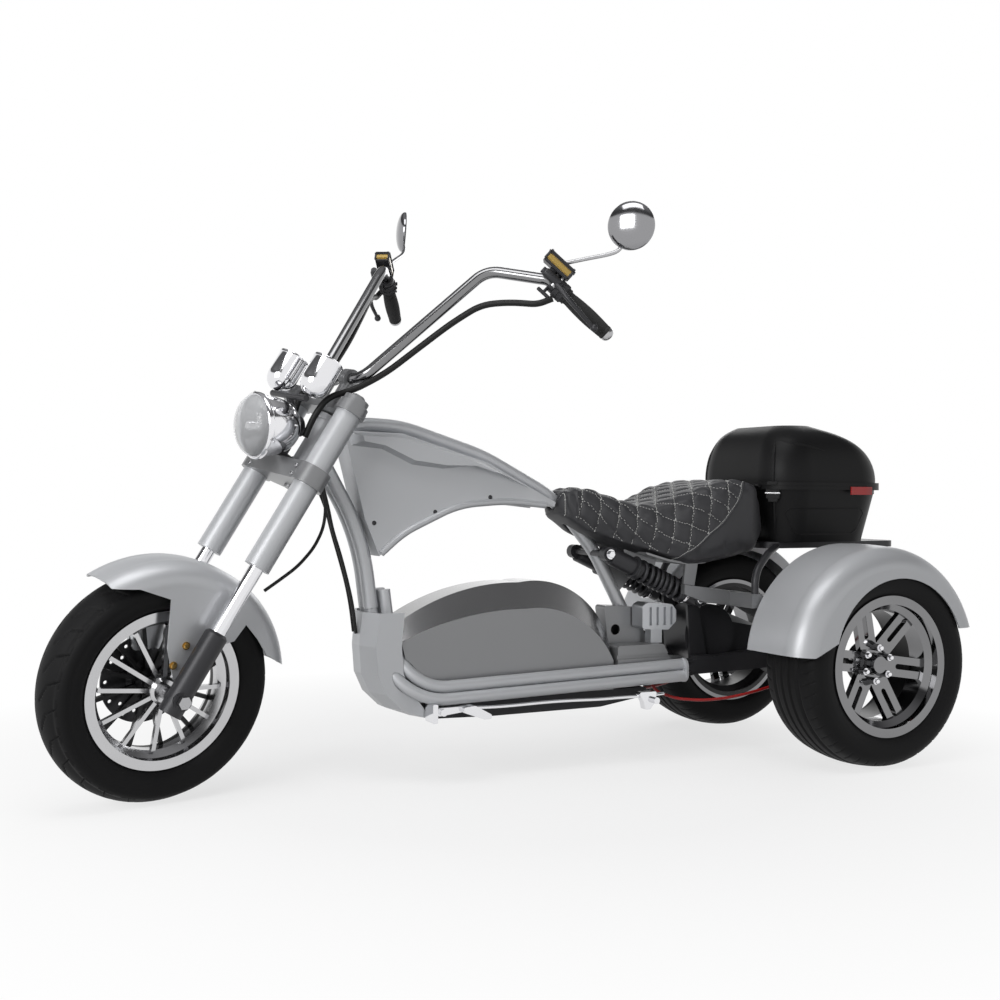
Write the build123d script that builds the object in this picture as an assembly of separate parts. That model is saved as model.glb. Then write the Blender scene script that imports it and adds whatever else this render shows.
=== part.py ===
from build123d import *
from math import cos, radians, sin, tan
import os

# A motorized trike: one steered wheel in front, two driven wheels behind, a slung frame of round
# tubes, a battery housing on the footrests and a top case on a rack. All lengths are millimetres.
# The model frame has X forward, Y to the rider's left and Z up, with its zero on the ground under
# the middle of the rear axle. FILE_ORIGIN moves it to the middle of the footprint at the end.

# Driving dimensions
WHEELBASE = 1636.0
TRACK = 617.0
RAKE_DEG = 31.5
LEG_LEAD = 30.0
LEG_SPREAD = 220.0
STEER_AT_REST = 15.0

# Wheels
FRONT_TYRE_R = 246.0
FRONT_TYRE_HALF = 61.0
REAR_TYRE_R = 245.0
REAR_TYRE_HALF = 95.0
RIM_LIP_R = 168.0
RIM_SEAT_R = 152.0
BEAD_GAP = 0.3
FRONT_RIM_HALF = 47.0
REAR_RIM_OUT = 92.0
REAR_RIM_IN = 84.0
RIM_WALL = 5.0
FRONT_SPOKES = 12
FRONT_SPOKE_W = 9.0
REAR_SPOKES = 6
REAR_SPOKE_W = 50.0
REAR_SLOT_W = 13.0
REAR_DISH = 66.0
REAR_HUB_R = 46.0
LUG_CIRCLE_R = 40.0
LUG_R = 8.5
FRONT_AXLE_R = 9.0
REAR_AXLE_R = 16.0
AXLE_FIT = 0.3
DISC_R = 95.0
DISC_T = 4.0
DISC_OFFSET = 62.0
DISC_HOLE_R = 4.0

# Fork, measured up along the legs from the front axle and forward of the leg line
SLEEVE_R = 28.0
SLEEVE_LOW = 307.0
SLEEVE_TOP = 702.0
STANCHION_R = 16.0
SLIDER_R = 25.0
SLIDER_TOP = 153.0
SLIDER_TAIL = 34.0
LOWER_CLAMP_LOW = 506.0
LOWER_CLAMP_T = 42.0
TOP_CLAMP_T = 16.0
CAP_R = 33.0
CAP_H = 22.0
CLAMP_WALL = 8.0
STEM_R = 13.0
HEAD_TUBE_R = 27.0
HEAD_GAP = 6.0
CLAMP_SWING_R = 48.0
PART_GAP = 0.3

# Handlebar, in the plane of the straight-ahead fork
BAR_R = 12.5
GRIP_R = 17.0
RISER_SIDE = 36.0
RISER_R = 14.0
RISER_EYE = 24.0

# Frame
FRAME_TUBE_R = 16.0
RAIL_TUBE_R = 13.6
TWIN_OFFSET = 16.2
RAIL_SIDE = 98.0

# Battery housing, shield and belly
BATTERY_CORE_HALF = 46.0
BATTERY_HALF = 70.0
PANEL_T = 4.0
SHIELD_HALF = 79.0
SHIELD_WALL = 4.0
BELLY_HALF = 70.0

# Rear body
FENDER_R = 286.0
FENDER_WALL = 3.5
FENDER_IN = 212.0
FENDER_OUT = 414.0
FRONT_FENDER_R = 274.0
FRONT_FENDER_HALF = 80.0
RACK_TOP = 531.0
RACK_T = 16.0
RACK_HALF = 125.0
RACK_FRONT = 150.0
RACK_TAIL = -275.0
CASE_WALL = 4.0
CASE_FRONT = 160.0
CASE_REAR = -191.0
CASE_HALF = 190.0
CASE_CORNER_R = 95.0
CASE_TAPER = 34.0
CASE_LIP_Z = 672.0
CASE_LIP_T = 9.0
CASE_LIP_OUT = 9.0
CASE_SHUT_GAP = 0.3
LID_RING_STEP = 1.5
REFLECTOR_AT = (-85.0, 190.0)
REFLECTOR_SIZE = (70.0, 56.0)

# Caliper lug beside the right slider, from the front axle in x and z
CALIPER_LUG = ((-50, 74), (-22, 74), (-22, 104), (-58, 104))

# Lamp and gauges
LAMP_CENTRE = (1436.0, 793.0)
LAMP_R = 68.0
LAMP_DEPTH = 92.0
GLASS_BULGE = 62.0
POD_LOW = 674.0
POD_TALL = 89.0
POD_AHEAD = 86.0
POD_SIDE = 73.0
POD_R = 34.0
POD_BAR_R = 7.0

# Frame lines in the side view, x and z, drawn from the head rearwards
BACKBONE_LINE = ((1264.0, 778.0), (1180.0, 802.0), (1085.0, 798.0), (880.0, 735.0), (690.0, 637.0),
                 (580.0, 510.0), (497.0, 362.0))
BACKBONE_BENDS = [150, 320, 500, 320, 300]
DOWNTUBE_LINE = ((1290.0, 740.0), (1208.0, 594.0), (1178.0, 505.0), (1163.0, 392.3))
DOWNTUBE_BENDS = [500, 500]
# Footrest rail tubes as x, y, z: the outer one carries on from the downtube
RAIL_OUTER_LINE = ((1163.0, 17.0, 390.8), (1152.0, 22.0, 318.0), (1117.0, 102.0, 187.5),
                   (385.0, 102.0, 207.5))
RAIL_OUTER_BENDS = [70, 128]
RAIL_INNER_LINE = ((1132.0, 17.0, 432.0), (1122.0, 22.0, 342.0), (1094.0, 94.0, 214.5),
                   (385.0, 94.0, 234.5))
RAIL_INNER_BENDS = [60, 100]
BRACKET_OUTLINE = ((563, 378), (480, 372.7), (434, 285), (550, 285))
BRACKET_INSIDE = ((555, 370), (486, 366), (446, 280), (542, 280))
BRACKET_TOP_SPACE = ((600, 380.7), (440, 370.5), (440, 330), (600, 330))
BRACKET_HALF = 22.0
SOCKET_AT = (530.0, 22.0, 318.0)
CROSSMEMBER_OUTLINE = ((557, 284.7), (428, 284.7), (404, 244), (404, 190), (557, 190))
CROSS_GROOVE = ((580, 262), (404, 262), (390, 252), (580, 252))
CROSS_HALF = 80.1
PIVOT = (352.0, 224.0)
CHEEK_OUTLINE = ((412, 202), (412, 252), (350, 248), (330, 224), (350, 202))
PIVOT_R = 11.0
CHEEK_IN = 30.0
CHEEK_OUT = 46.0

# Tank cover, side view
TANK_TOP_LINE = ((1236.0, 802.0), (1095.0, 798.0), (880.0, 735.0), (700.0, 643.0))
TANK_FRONT_LOW = (1186.0, 590.0)
TANK_ARCH = ((1152.0, 508.0), (960.0, 617.0), (712.0, 618.0))
TANK_WEB_HALF = 40.0
TANK_HALF = 62.0
TANK_SHOULDER = ((1226, 782), (1095, 780), (884, 716), (770, 658), (842, 690), (905, 714), (1000, 704),
                 (1075, 712), (1148, 746), (1222, 752))
TANK_SHOULDER_OUT = ((1200, 774), (1098, 770), (930, 722), (860, 694), (880, 698), (925, 712), (1000, 712),
                     (1077, 722), (1148, 754), (1196, 762))
TANK_LIP_LINE = ((1148.0, 514.0), (1094.0, 560.0), (960.0, 622.0), (830.0, 632.0), (736.0, 622.0))
TANK_LIP_BENDS = [240, 260, 500]

# Battery housing, side view
BATTERY_FLOOR = 181.0
BATTERY_NOSE = 1075.0
BATTERY_CREST = ((562.0, 290.0), (652.0, 410.0), (808.0, 442.0), (985.0, 418.0), (1120.0, 352.0))
PANEL_EDGE = ((566.0, 250.0), (650.0, 346.0), (800.0, 382.0), (968.0, 366.0), (1112.0, 318.0))
SHIELD_EDGE = ((1166, 384), (1173, 310), (1168, 248), (1148, 204), (1110, 168), (1052, 147))
SHIELD_INSIDE = ((1162, 384), (1169, 310), (1164, 249), (1144, 207), (1107, 172), (1050, 151.2))
SHIELD_REAR = ((1106, 384), (1113, 310), (1108, 248), (1092, 214), (1080, 196), (1050.5, 157))
BELLY_TOP = BATTERY_FLOOR - PART_GAP
BELLY_OUTLINE = ((1046, BELLY_TOP), (1040, 143), (885, 139), (600, 141), (470, 160), (470, BELLY_TOP))
BELLY_INSIDE = ((1042, 182), (1036, 147), (885, 142), (600, 144), (474, 163), (474, 182))

# Seat, side view and half plan
SEAT_TOP = ((708, 632), (700, 652), (678, 664), (619, 658), (549, 633), (506, 620), (462, 622), (418, 635),
            (344, 664), (269, 681), (226, 683), (196, 676), (183, 664), (180, 648))
SEAT_BOTTOM = ((168, 636), (146, 560), (200, 512), (322, 488), (381, 484), (439, 495), (560, 530), (640, 560), (700, 600))
SEAT_PLAN = ((708, 30), (690, 58), (600, 78), (500, 112), (400, 146), (300, 158), (200, 146), (140, 104))
SEAT_PLATE = ((500, 510.5), (439, 493.3), (381, 483.0), (330, 486.5), (330, 481.5), (381, 478.0), (439, 488.3),
              (500, 505.5))
SEAT_PLATE_HALF = 114.0
SEAT_EAR = ((530, 521), (500, 510), (436, 492), (444, 470), (528, 500))
SEAT_EAR_SIDE = 56.0
SEAT_STAY = ((560, 500), (500, 508), (460, 497), (480, 440), (520, 400), (545, 430))
SEAT_STRUT = ((388, 480), (352, 484), (362, 427.2), (394, 431.8))

# Rear running gear, side view
SHOCK_TOP = (588.0, 506.0)
SHOCK_LOW = (331.0, 389.0)
SHOCK_SIDE = 80.0
SHOCK_PIN_R = 7.0
SWING_IN = 60.0
TOWER_SET_IN = 11.0
SWING_OUT = 88.0
SWINGARM_OUTLINE = ((352, 206), (352, 242), (20, 268), (-20, 268), (-36, 245), (-20, 214), (20, 214))
TOWER_OUTLINE = ((334, 242), (346, 404), (316, 404), (286, 242))
TOWER_FOOT = ((334, 215), (334, 250), (286, 250), (286, 215))
AXLE_TUBE_R = 32.0
AXLE_TUBE_HALF = 196.0
MOTOR = (270.0, 300.0)
MOTOR_R = 74.0
MOTOR_HALF = SWING_IN - TOWER_SET_IN - PART_GAP
BEAM_OUTLINE = ((262, 410), (232, 410), (232, 376), (262, 376))
BEAM_HALF = 211.6
SIDE_ARM_OUTLINE = ((396, 431), (262, 412), (240, 410), (240, 376), (330, 384), (396, 408))
SIDE_ARM_IN = 106.0
SIDE_ARM_OUT = 122.0
CARRIER_OUTLINE = ((262, 376.5), (232, 388), (-20, 292), (-44, 245), (-20, 205), (20, 205), (60, 270))
CARRIER_SIDE = 140.0
REAR_CALIPER = ((485, 322), (485, 378), (470, 386), (400, 380), (388, 366), (388, 338), (410, 318))
OPENING_AT = (-20.0, 258.0)
OPENING_R = 196.0

# Rack, hinge and lid
RACK_HOLE_X = -245.0
RACK_HOLE_SPACING = 100.0
RACK_HOLE_R = 3.25
RACK_ARM = ((112.0, 112.0, 521.0), (188.0, 176.0, 506.0), (247.0, 202.0, 462.0), (247.0, 202.0, 410.3))
HINGE_SIDE = 95.0
# Lid sections as front inset, rear inset, side inset, height and corner radius
LID_SECTIONS = ((0, 0, 0, 681, 95), (3, 10, 4, 730, 92), (14, 42, 14, 770, 86), (34, 108, 36, 804, 72),
                (66, 182, 76, 826, 46))

# Held cables and hoses as x, y, z
HOSE_R = 3.6
BAR_CABLE_R = 7.0
BAR_CABLE_ROUTE = ((925.5, 334.8, 1110.8), (950.0, 316.0, 1096.0), (990.0, 268.0, 1096.0),
                   (1030.0, 222.0, 1086.0), (1076.0, 182.0, 1042.0), (1130.0, 142.5, 983.1),
                   (1190.0, 109.4, 922.6), (1250.0, 81.8, 882.2), (1299.5, 56.5, 862.7), (1321.5, 42.0, 820.0),
                   (1335.5, 33.0, 774.0))
FRONT_HOSE_ROUTE = ((1314.0, 58.0, 700.0), (1301.0, 60.0, 664.0), (1290.0, 63.0, 625.0), (1297.0, 70.0, 580.0),
                    (1322.0, 78.0, 539.0), (1362.0, 82.0, 500.0), (1404.0, 84.0, 474.0), (1440.0, 84.0, 452.0))
BRAKE_ROD_ROUTE = ((1024.6, 104.0, 166.0), (960.0, 101.0, 168.0), (890.0, 104.0, 166.0), (830.0, 104.0, 167.0),
                   (760.0, 106.0, 169.0), (690.0, 104.0, 168.0), (620.0, 106.0, 166.0), (560.0, 106.0, 167.0),
                   (500.0, 106.0, 165.5), (440.0, 100.0, 168.0))
REAR_HOSE_ROUTES = (
    ((448.0, 56.0, 187.7), (438.0, 64.0, 168.0), (400.0, 90.0, 151.0), (340.0, 118.0, 146.0),
     (270.0, 140.0, 152.0), (200.0, 158.0, 168.0), (130.0, 168.0, 186.0), (72.0, 172.0, 204.0),
     (28.0, 172.0, 229.0)),
    ((448.0, -56.0, 187.7), (438.0, -64.0, 168.0), (400.0, -90.0, 151.0), (340.0, -118.0, 146.0),
     (270.0, -140.0, 152.0), (200.0, -158.0, 168.0), (130.0, -168.0, 186.0), (72.0, -172.0, 204.0),
     (28.0, -172.0, 229.0)))
FRAME_CABLE_ROUTES = (
    ((1294.0, 36.0, 704.0), (1279.0, 20.0, 668.0), (1262.0, 8.0, 620.0), (1250.0, 6.0, 566.0),
     (1232.0, 7.0, 512.0), (1216.0, 6.0, 456.0), (1203.0, 8.0, 400.0), (1194.7, 8.0, 335.0)),
    ((1294.0, -36.0, 704.0), (1278.0, -22.0, 664.0), (1261.0, -10.0, 616.0), (1247.0, -8.0, 560.0),
     (1230.0, -9.0, 506.0), (1214.0, -8.0, 450.0), (1202.0, -10.0, 396.0), (1194.5, -10.0, 338.0)))

# Where the file's zero lies in the model frame: the middle of the footprint as it stands, bars turned
FILE_ORIGIN = ((WHEELBASE + FRONT_TYRE_R + RACK_TAIL) / 2, -38.0)

AXLE_FRONT = Vector(WHEELBASE, 0, FRONT_TYRE_R)
AXLE_REAR_Z = REAR_TYRE_R
RAKE = radians(RAKE_DEG)
UP_LEG = Vector(-sin(RAKE), 0, cos(RAKE))
AHEAD = Vector(cos(RAKE), 0, sin(RAKE))
SIDE = Vector(0, 1, 0)
STEER_AXIS = Axis(AXLE_FRONT - AHEAD * LEG_LEAD, UP_LEG)

nodes = {}


def fork_point(up, ahead=0.0, side=0.0):
    """Point up along the fork from the axle, ahead of the leg line and to the side."""
    return AXLE_FRONT + UP_LEG * up + AHEAD * ahead + SIDE * side


def fork_plane(up, ahead=0.0, side=0.0):
    """Work plane square to the fork legs, its x across to the left."""
    return Plane(origin=fork_point(up, ahead, side), x_dir=SIDE, z_dir=UP_LEG)


def side_slab(outline, y_low, y_high):
    """Solid of a closed side outline, drawn in x and z, between two planes across the trike."""
    return Pos(0, y_high, 0) * extrude(Plane.XZ * make_face(outline), y_high - y_low)


def turned(profile, centre=(0, 0, 0), arc=360.0):
    """Solid of revolution about a crosswise axis from a face drawn as radius and side."""
    return Pos(*centre) * revolve(profile, Axis.Y, arc)


def rod(start, end, radius):
    """Round bar between two points."""
    start = Vector(*start)
    line = Vector(*end) - start
    return extrude(Plane(origin=start, z_dir=line) * Circle(radius), line.length)


def bent_tube(points, radius, bends):
    """Round tube along straight runs joined by tangent arcs."""
    path = FilletPolyline(*points, radius=bends)
    section = Plane(origin=path @ 0, z_dir=path % 0) * Circle(radius)
    return sweep(section, path=path)


def easy_bends(points):
    """Bend radii for a cord: 0.45 of the shorter run over the tangent of half the turn."""
    corners = [Vector(*p) for p in points]
    radii = []
    for before, here, after in zip(corners, corners[1:], corners[2:]):
        run_in = here - before
        run_out = after - here
        half_turn = radians(run_in.get_angle(run_out)) / 2
        radii.append(0.45 * min(run_in.length, run_out.length) / tan(half_turn))
    return radii


def cord(name, points, radius):
    """Tube of a held cable, with its bend radii and volume printed for checking."""
    radii = easy_bends(points)
    path = FilletPolyline(*points, radius=radii)
    solid = sweep(Plane(origin=path @ 0, z_dir=path % 0) * Circle(radius), path=path)
    expected = 3.14159265 * radius**2 * path.length
    print(name, "smallest bend", round(min(radii)), "length", round(path.length),
          "volume share", round(solid.volume / expected, 4))
    return solid


def both_sides(shape):
    """The shape and its mirror image across the trike's middle plane."""
    return [shape, mirror(shape, about=Plane.XZ)]


def add(name, *shapes, steered=False):
    """Keep one named piece, turned with the steering where it belongs to it."""
    solids = []
    for shape in shapes:
        for solid in shape.solids():
            solids.append(solid.rotate(STEER_AXIS, STEER_AT_REST) if steered else solid)
    nodes[name] = solids


def ring_face(*points):
    """Closed face of straight edges, for turning."""
    return make_face(Polyline(*points, close=True))


# Tyres


def tyre(radius, half, seat_half, crown_half, crown_drop):
    """Solid tyre ring: flat bead faces, bulged sidewalls, round shoulders and a crowned tread."""
    bead_r = RIM_SEAT_R + BEAD_GAP
    shoulder_r = radius - crown_drop
    wide_r = (RIM_LIP_R + radius) / 2 - 2
    outline = [
        Line((bead_r, -seat_half), (bead_r, seat_half)),
        Line((bead_r, seat_half), (RIM_LIP_R + 2, seat_half)),
        ThreePointArc((RIM_LIP_R + 2, seat_half), (RIM_LIP_R + 16, half - 3), (wide_r, half)),
        ThreePointArc((wide_r, half), ((wide_r + shoulder_r) / 2 + 5, (half + crown_half) / 2 + 6),
                      (shoulder_r, crown_half)),
        ThreePointArc((shoulder_r, crown_half), (radius, 0), (shoulder_r, -crown_half)),
        ThreePointArc((shoulder_r, -crown_half),
                      ((wide_r + shoulder_r) / 2 + 5, -(half + crown_half) / 2 - 6), (wide_r, -half)),
        ThreePointArc((wide_r, -half), (RIM_LIP_R + 16, 3 - half), (RIM_LIP_R + 2, -seat_half)),
        Line((RIM_LIP_R + 2, -seat_half), (bead_r, -seat_half)),
    ]
    return turned(make_face(Curve() + outline))


def barrel(out_half, in_half, well_r):
    """Rim barrel of a wheel: two lips, two bead seats and a drop centre."""
    seat = RIM_SEAT_R
    lip = RIM_LIP_R
    wall = RIM_WALL
    step = 12.0
    return turned(ring_face(
        (seat - wall, out_half), (lip, out_half), (lip, out_half - wall + 1),
        (seat, out_half - wall + 1), (seat, out_half - 20), (well_r, out_half - 20 - step),
        (well_r, step + 20 - in_half), (seat, 20 - in_half), (seat, wall - 1 - in_half),
        (lip, wall - 1 - in_half), (lip, -in_half), (seat - wall, -in_half),
        (seat - wall, 18 - in_half), (well_r - wall, 18 + step - in_half),
        (well_r - wall, out_half - 18 - step), (seat - wall, out_half - 18)))


def cone_band(r_in, y_in, r_out, y_out, thick):
    """Dished disc between two radii, for cutting spokes out of."""
    return turned(ring_face((r_in, y_in), (r_out, y_out), (r_out, y_out - thick), (r_in, y_in - thick)))


def spoke_star(count, inner, outer, width, start_deg, slot_w=0.0, slot_from=0.0):
    """Flat star of radial bars seen along the axle, each with an optional long slot."""
    bars = Sketch()
    for k in range(count):
        angle = start_deg + 360.0 * k / count
        middle = (inner + outer) / 2
        bar = Pos(middle, 0) * Rectangle(outer - inner, width)
        if slot_w:
            slot_len = outer - slot_from
            bar -= Pos(slot_from + slot_len / 2, 0) * SlotOverall(slot_len, slot_w)
        bars += Rot(0, 0, angle) * bar
    return bars


def spokes(star, band, reach):
    """Spokes: the star pushed through the wheel and kept where the dished band is."""
    bars = Pos(0, reach, 0) * extrude(Plane.XZ * star, 2 * reach)
    return bars & band


def front_rim():
    """Front rim with a polished near row of spokes and a staggered far row, and its hub."""
    well_r = 138.0
    wheel = barrel(FRONT_RIM_HALF, FRONT_RIM_HALF, well_r)
    hub = turned(ring_face((FRONT_AXLE_R + AXLE_FIT, 50), (24, 50), (30, 44), (30, 30), (22, 18),
                           (22, -18), (30, -30), (30, -50), (FRONT_AXLE_R + AXLE_FIT, -50)))
    reach = well_r - RIM_WALL + 1
    near_star = spoke_star(FRONT_SPOKES, 20, reach, FRONT_SPOKE_W, 4)
    far_star = spoke_star(FRONT_SPOKES, 20, reach, FRONT_SPOKE_W, 4 + 180 / FRONT_SPOKES)
    near = spokes(near_star, cone_band(20, 42, reach, 26, 10), 60)
    far = spokes(far_star, cone_band(20, -30, reach, -14, 10), 60)
    return wheel + hub + near + far


def front_disc():
    """Drilled brake disc on its carrier, on the right side of the front hub."""
    y_out = -DISC_OFFSET
    disc = turned(ring_face((34, y_out), (DISC_R, y_out), (DISC_R, y_out + DISC_T), (34, y_out + DISC_T)))
    carrier = turned(ring_face((FRONT_AXLE_R + AXLE_FIT, y_out), (40, y_out), (40, y_out + DISC_T),
                               (28, -50 - PART_GAP), (FRONT_AXLE_R + AXLE_FIT, -50 - PART_GAP)))
    body = disc + carrier
    for k in range(12):
        for ring_r, shift in ((84.0, 0.0), (70.0, 15.0)):
            angle = radians(30 * k + shift)
            at = Pos(ring_r * cos(angle), y_out + DISC_T / 2, ring_r * sin(angle))
            body -= at * Rot(90, 0, 0) * Cylinder(DISC_HOLE_R, 3 * DISC_T)
    return body


def rear_rim():
    """Deep-dish rear rim with six slotted spokes, hub and lug nuts, its open side at plus Y."""
    well_r = 138.0
    wheel = barrel(REAR_RIM_OUT, REAR_RIM_IN, well_r)
    face_y = REAR_RIM_OUT - REAR_DISH
    hub = turned(ring_face((REAR_AXLE_R + AXLE_FIT, face_y + 4), (REAR_HUB_R, face_y + 4),
                           (REAR_HUB_R + 6, face_y - 6), (REAR_HUB_R + 6, face_y - 26),
                           (REAR_AXLE_R + AXLE_FIT, face_y - 26)))
    reach = well_r - RIM_WALL + 1
    star = spoke_star(REAR_SPOKES, 30, reach, REAR_SPOKE_W, 8, REAR_SLOT_W, REAR_HUB_R + 20)
    arms = spokes(star, cone_band(30, face_y + 2, reach, face_y + 26, 16), 120)
    body = wheel + hub + arms
    for k in range(REAR_SPOKES):
        angle = radians(8 + 30 + 60 * k)
        at = Pos(LUG_CIRCLE_R * cos(angle), face_y + 12, LUG_CIRCLE_R * sin(angle))
        body += at * Rot(90, 0, 0) * Cylinder(LUG_R, 18)
    cap = turned(ring_face((0, face_y + 4), (0, face_y + 30), (20, face_y + 30), (24, face_y + 22),
                           (24, face_y + 4)))
    return body + cap


def make_wheels():
    """The three wheels, each as a tyre and a rim, and the front brake disc."""
    at_front = Pos(*tuple(AXLE_FRONT))
    add("front_tyre", at_front * tyre(FRONT_TYRE_R, FRONT_TYRE_HALF, FRONT_RIM_HALF - RIM_WALL + 0.7,
                                      44.0, 16.0), steered=True)
    add("front_rim", at_front * front_rim(), steered=True)
    add("front_disc", at_front * front_disc(), steered=True)
    seat_half = (REAR_RIM_OUT + REAR_RIM_IN) / 2 - RIM_WALL + 0.7
    shift = (REAR_RIM_OUT - REAR_RIM_IN) / 2
    shaft_out = REAR_RIM_OUT - REAR_DISH + 2
    flange_out = REAR_RIM_OUT - REAR_DISH - 26 - PART_GAP
    shaft = rod((0, AXLE_TUBE_HALF + PART_GAP - TRACK / 2, 0), (0, shaft_out, 0), REAR_AXLE_R)
    shaft += rod((0, flange_out - 8, 0), (0, flange_out, 0), REAR_HUB_R + 4)
    rear_tyre = Pos(0, shift, 0) * tyre(REAR_TYRE_R, REAR_TYRE_HALF, seat_half, 70.0, 7.0)
    rim = rear_rim()
    for side_name, sign in (("left", 1), ("right", -1)):
        for name, pieces in (("rear_tyre_", [rear_tyre]), ("rear_rim_", [rim, shaft])):
            placed = [Pos(0, TRACK / 2, AXLE_REAR_Z) * piece for piece in pieces]
            if sign == -1:
                placed = [mirror(piece, about=Plane.XZ) for piece in placed]
            add(name + side_name, *placed)


# Fork, clamps and bars


def make_fork():
    """Sleeves, stanchions, sliders, clamps, stem and axle of the fork."""
    half = LEG_SPREAD / 2
    sleeve = extrude(fork_plane(SLEEVE_LOW, 0, half) * Circle(SLEEVE_R), SLEEVE_TOP - SLEEVE_LOW)
    sleeve -= extrude(fork_plane(SLEEVE_LOW, 0, half) * Circle(STANCHION_R + PART_GAP), 60)
    add("fork_sleeves", *both_sides(sleeve), steered=True)
    low = SLIDER_TOP - 60
    stanchion = extrude(fork_plane(low, 0, half) * Circle(STANCHION_R), SLEEVE_LOW + 59 - low)
    add("fork_stanchions", *both_sides(stanchion), steered=True)
    slider = extrude(fork_plane(-SLIDER_TAIL, 0, half) * Circle(SLIDER_R), SLIDER_TOP + SLIDER_TAIL)
    slider = chamfer(slider.edges().filter_by(GeomType.CIRCLE).sort_by(Axis(AXLE_FRONT, UP_LEG))[-1], 6)
    slider -= extrude(fork_plane(low, 0, half) * Circle(STANCHION_R + PART_GAP), 100)
    slider += Pos(AXLE_FRONT.X, half, AXLE_FRONT.Z) * Rot(90, 0, 0) * Cylinder(20, 2 * SLIDER_R - 2)
    slider -= rod((AXLE_FRONT.X, half - 60, AXLE_FRONT.Z), (AXLE_FRONT.X, half + 60, AXLE_FRONT.Z),
                  FRONT_AXLE_R + AXLE_FIT)
    add("fork_sliders", *both_sides(slider), steered=True)
    reach = half + SLIDER_R + 4
    axle = rod((AXLE_FRONT.X, -reach, AXLE_FRONT.Z), (AXLE_FRONT.X, reach, AXLE_FRONT.Z), FRONT_AXLE_R)
    for sign in (-1, 1):
        nut_at = Pos(AXLE_FRONT.X, sign * (half + SLIDER_R + 5), AXLE_FRONT.Z) * Rot(90, 0, 0)
        axle += nut_at * extrude(RegularPolygon(14, 6), 5, both=True)
    spacer_out = half - SLIDER_R - PART_GAP
    for y_in, y_out in ((50.4, spacer_out), (-spacer_out, -DISC_OFFSET - 0.4)):
        axle += rod((AXLE_FRONT.X, y_in, AXLE_FRONT.Z), (AXLE_FRONT.X, y_out, AXLE_FRONT.Z), 15)
    add("front_axle", axle, steered=True)


def clamp_plate(up, thick, bore_r, ring_r, web_ahead, stem_r, boss_r):
    """Fork clamp: two leg rings and a stem boss joined by a tapered web, bored for the legs."""
    half = LEG_SPREAD / 2
    web = make_face(Polyline((-half, web_ahead), (half, web_ahead), (half, -16), (34, -LEG_LEAD - 22),
                             (-34, -LEG_LEAD - 22), (-half, -16), close=True))
    rings = web + Pos(0, -LEG_LEAD) * Circle(boss_r)
    for sign in (-1, 1):
        rings += Pos(sign * half, 0) * Circle(ring_r)
    for sign in (-1, 1):
        rings -= Pos(sign * half, 0) * Circle(bore_r)
    rings -= Pos(0, -LEG_LEAD) * Circle(stem_r)
    # x of this plane runs across and y runs ahead, so its normal points down the fork
    plane = Plane(origin=fork_point(up + thick), x_dir=SIDE, z_dir=-UP_LEG)
    return extrude(plane * rings, thick)


def make_clamps():
    """Both fork clamps with the leg caps and bar risers, and the steering stem."""
    half = LEG_SPREAD / 2
    ring_r = SLEEVE_R + CLAMP_WALL
    bore = SLEEVE_R + PART_GAP
    lower = clamp_plate(LOWER_CLAMP_LOW, LOWER_CLAMP_T, bore, ring_r, 33, STEM_R + PART_GAP, 38)
    top_low = SLEEVE_TOP - TOP_CLAMP_T
    top = clamp_plate(top_low, TOP_CLAMP_T, bore, ring_r - 2, 20, STEM_R + PART_GAP, 23)
    for sign in (-1, 1):
        foot = fork_plane(SLEEVE_TOP, 0, sign * RISER_SIDE)
        rise = (BAR_CENTRE - foot.origin).length
        riser = extrude(foot * Circle(RISER_R), rise)
        eye = rod((BAR_CENTRE.X, sign * RISER_SIDE - RISER_EYE / 2, BAR_CENTRE.Z),
                  (BAR_CENTRE.X, sign * RISER_SIDE + RISER_EYE / 2, BAR_CENTRE.Z), BAR_R + 8)
        top += riser + eye
    top -= rod((BAR_CENTRE.X, -80, BAR_CENTRE.Z), (BAR_CENTRE.X, 80, BAR_CENTRE.Z), BAR_R + PART_GAP)
    caps = [top]
    for sign in (-1, 1):
        cap = extrude(fork_plane(SLEEVE_TOP + PART_GAP, 0, sign * half) * Circle(CAP_R), CAP_H * 0.4)
        cap += extrude(fork_plane(SLEEVE_TOP + PART_GAP, 0, sign * half) * Circle(CAP_R - 5), CAP_H)
        cap += extrude(fork_plane(SLEEVE_TOP + CAP_H, 0, sign * half) * RegularPolygon(15, 6), 8)
        caps.append(cap)
    add("top_clamp", *caps, steered=True)
    stem_low = LOWER_CLAMP_LOW - 6
    stem = extrude(fork_plane(stem_low, -LEG_LEAD) * Circle(STEM_R), SLEEVE_TOP + 14 - stem_low)
    stem += extrude(fork_plane(SLEEVE_TOP + PART_GAP, -LEG_LEAD) * RegularPolygon(19, 6), 12)
    add("lower_clamp", lower, stem, steered=True)


BAR_CENTRE = fork_point(771, 2.4)
BAR_KNEE_SIDE = 80.0
BAR_BEND = (1009.0, 205.0, 1161.0)
BAR_STEM = (926.0, 317.0, 1150.0)
BAR_END = (827.0, 406.0, 1046.0)
MIRROR_STEM = ((922.6, 319.8, 1161.5), (915.0, 324.0, 1180.0), (816.0, 405.0, 1219.0),
               (808.0, 424.0, 1255.0))
MIRROR_STEM_R = 4.5
MIRROR_CENTRE = (804.0, 430.0, 1277.0)
MIRROR_R = 52.0
MIRROR_YAW = 8.0


def bar_point(share, lift=0.0, side=1):
    """Point on the grip run of the bar, from the mirror stem to the bar end."""
    x, y, z = (a + (b - a) * share for a, b in zip(BAR_STEM, BAR_END))
    return (x, side * y, z + lift)


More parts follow.
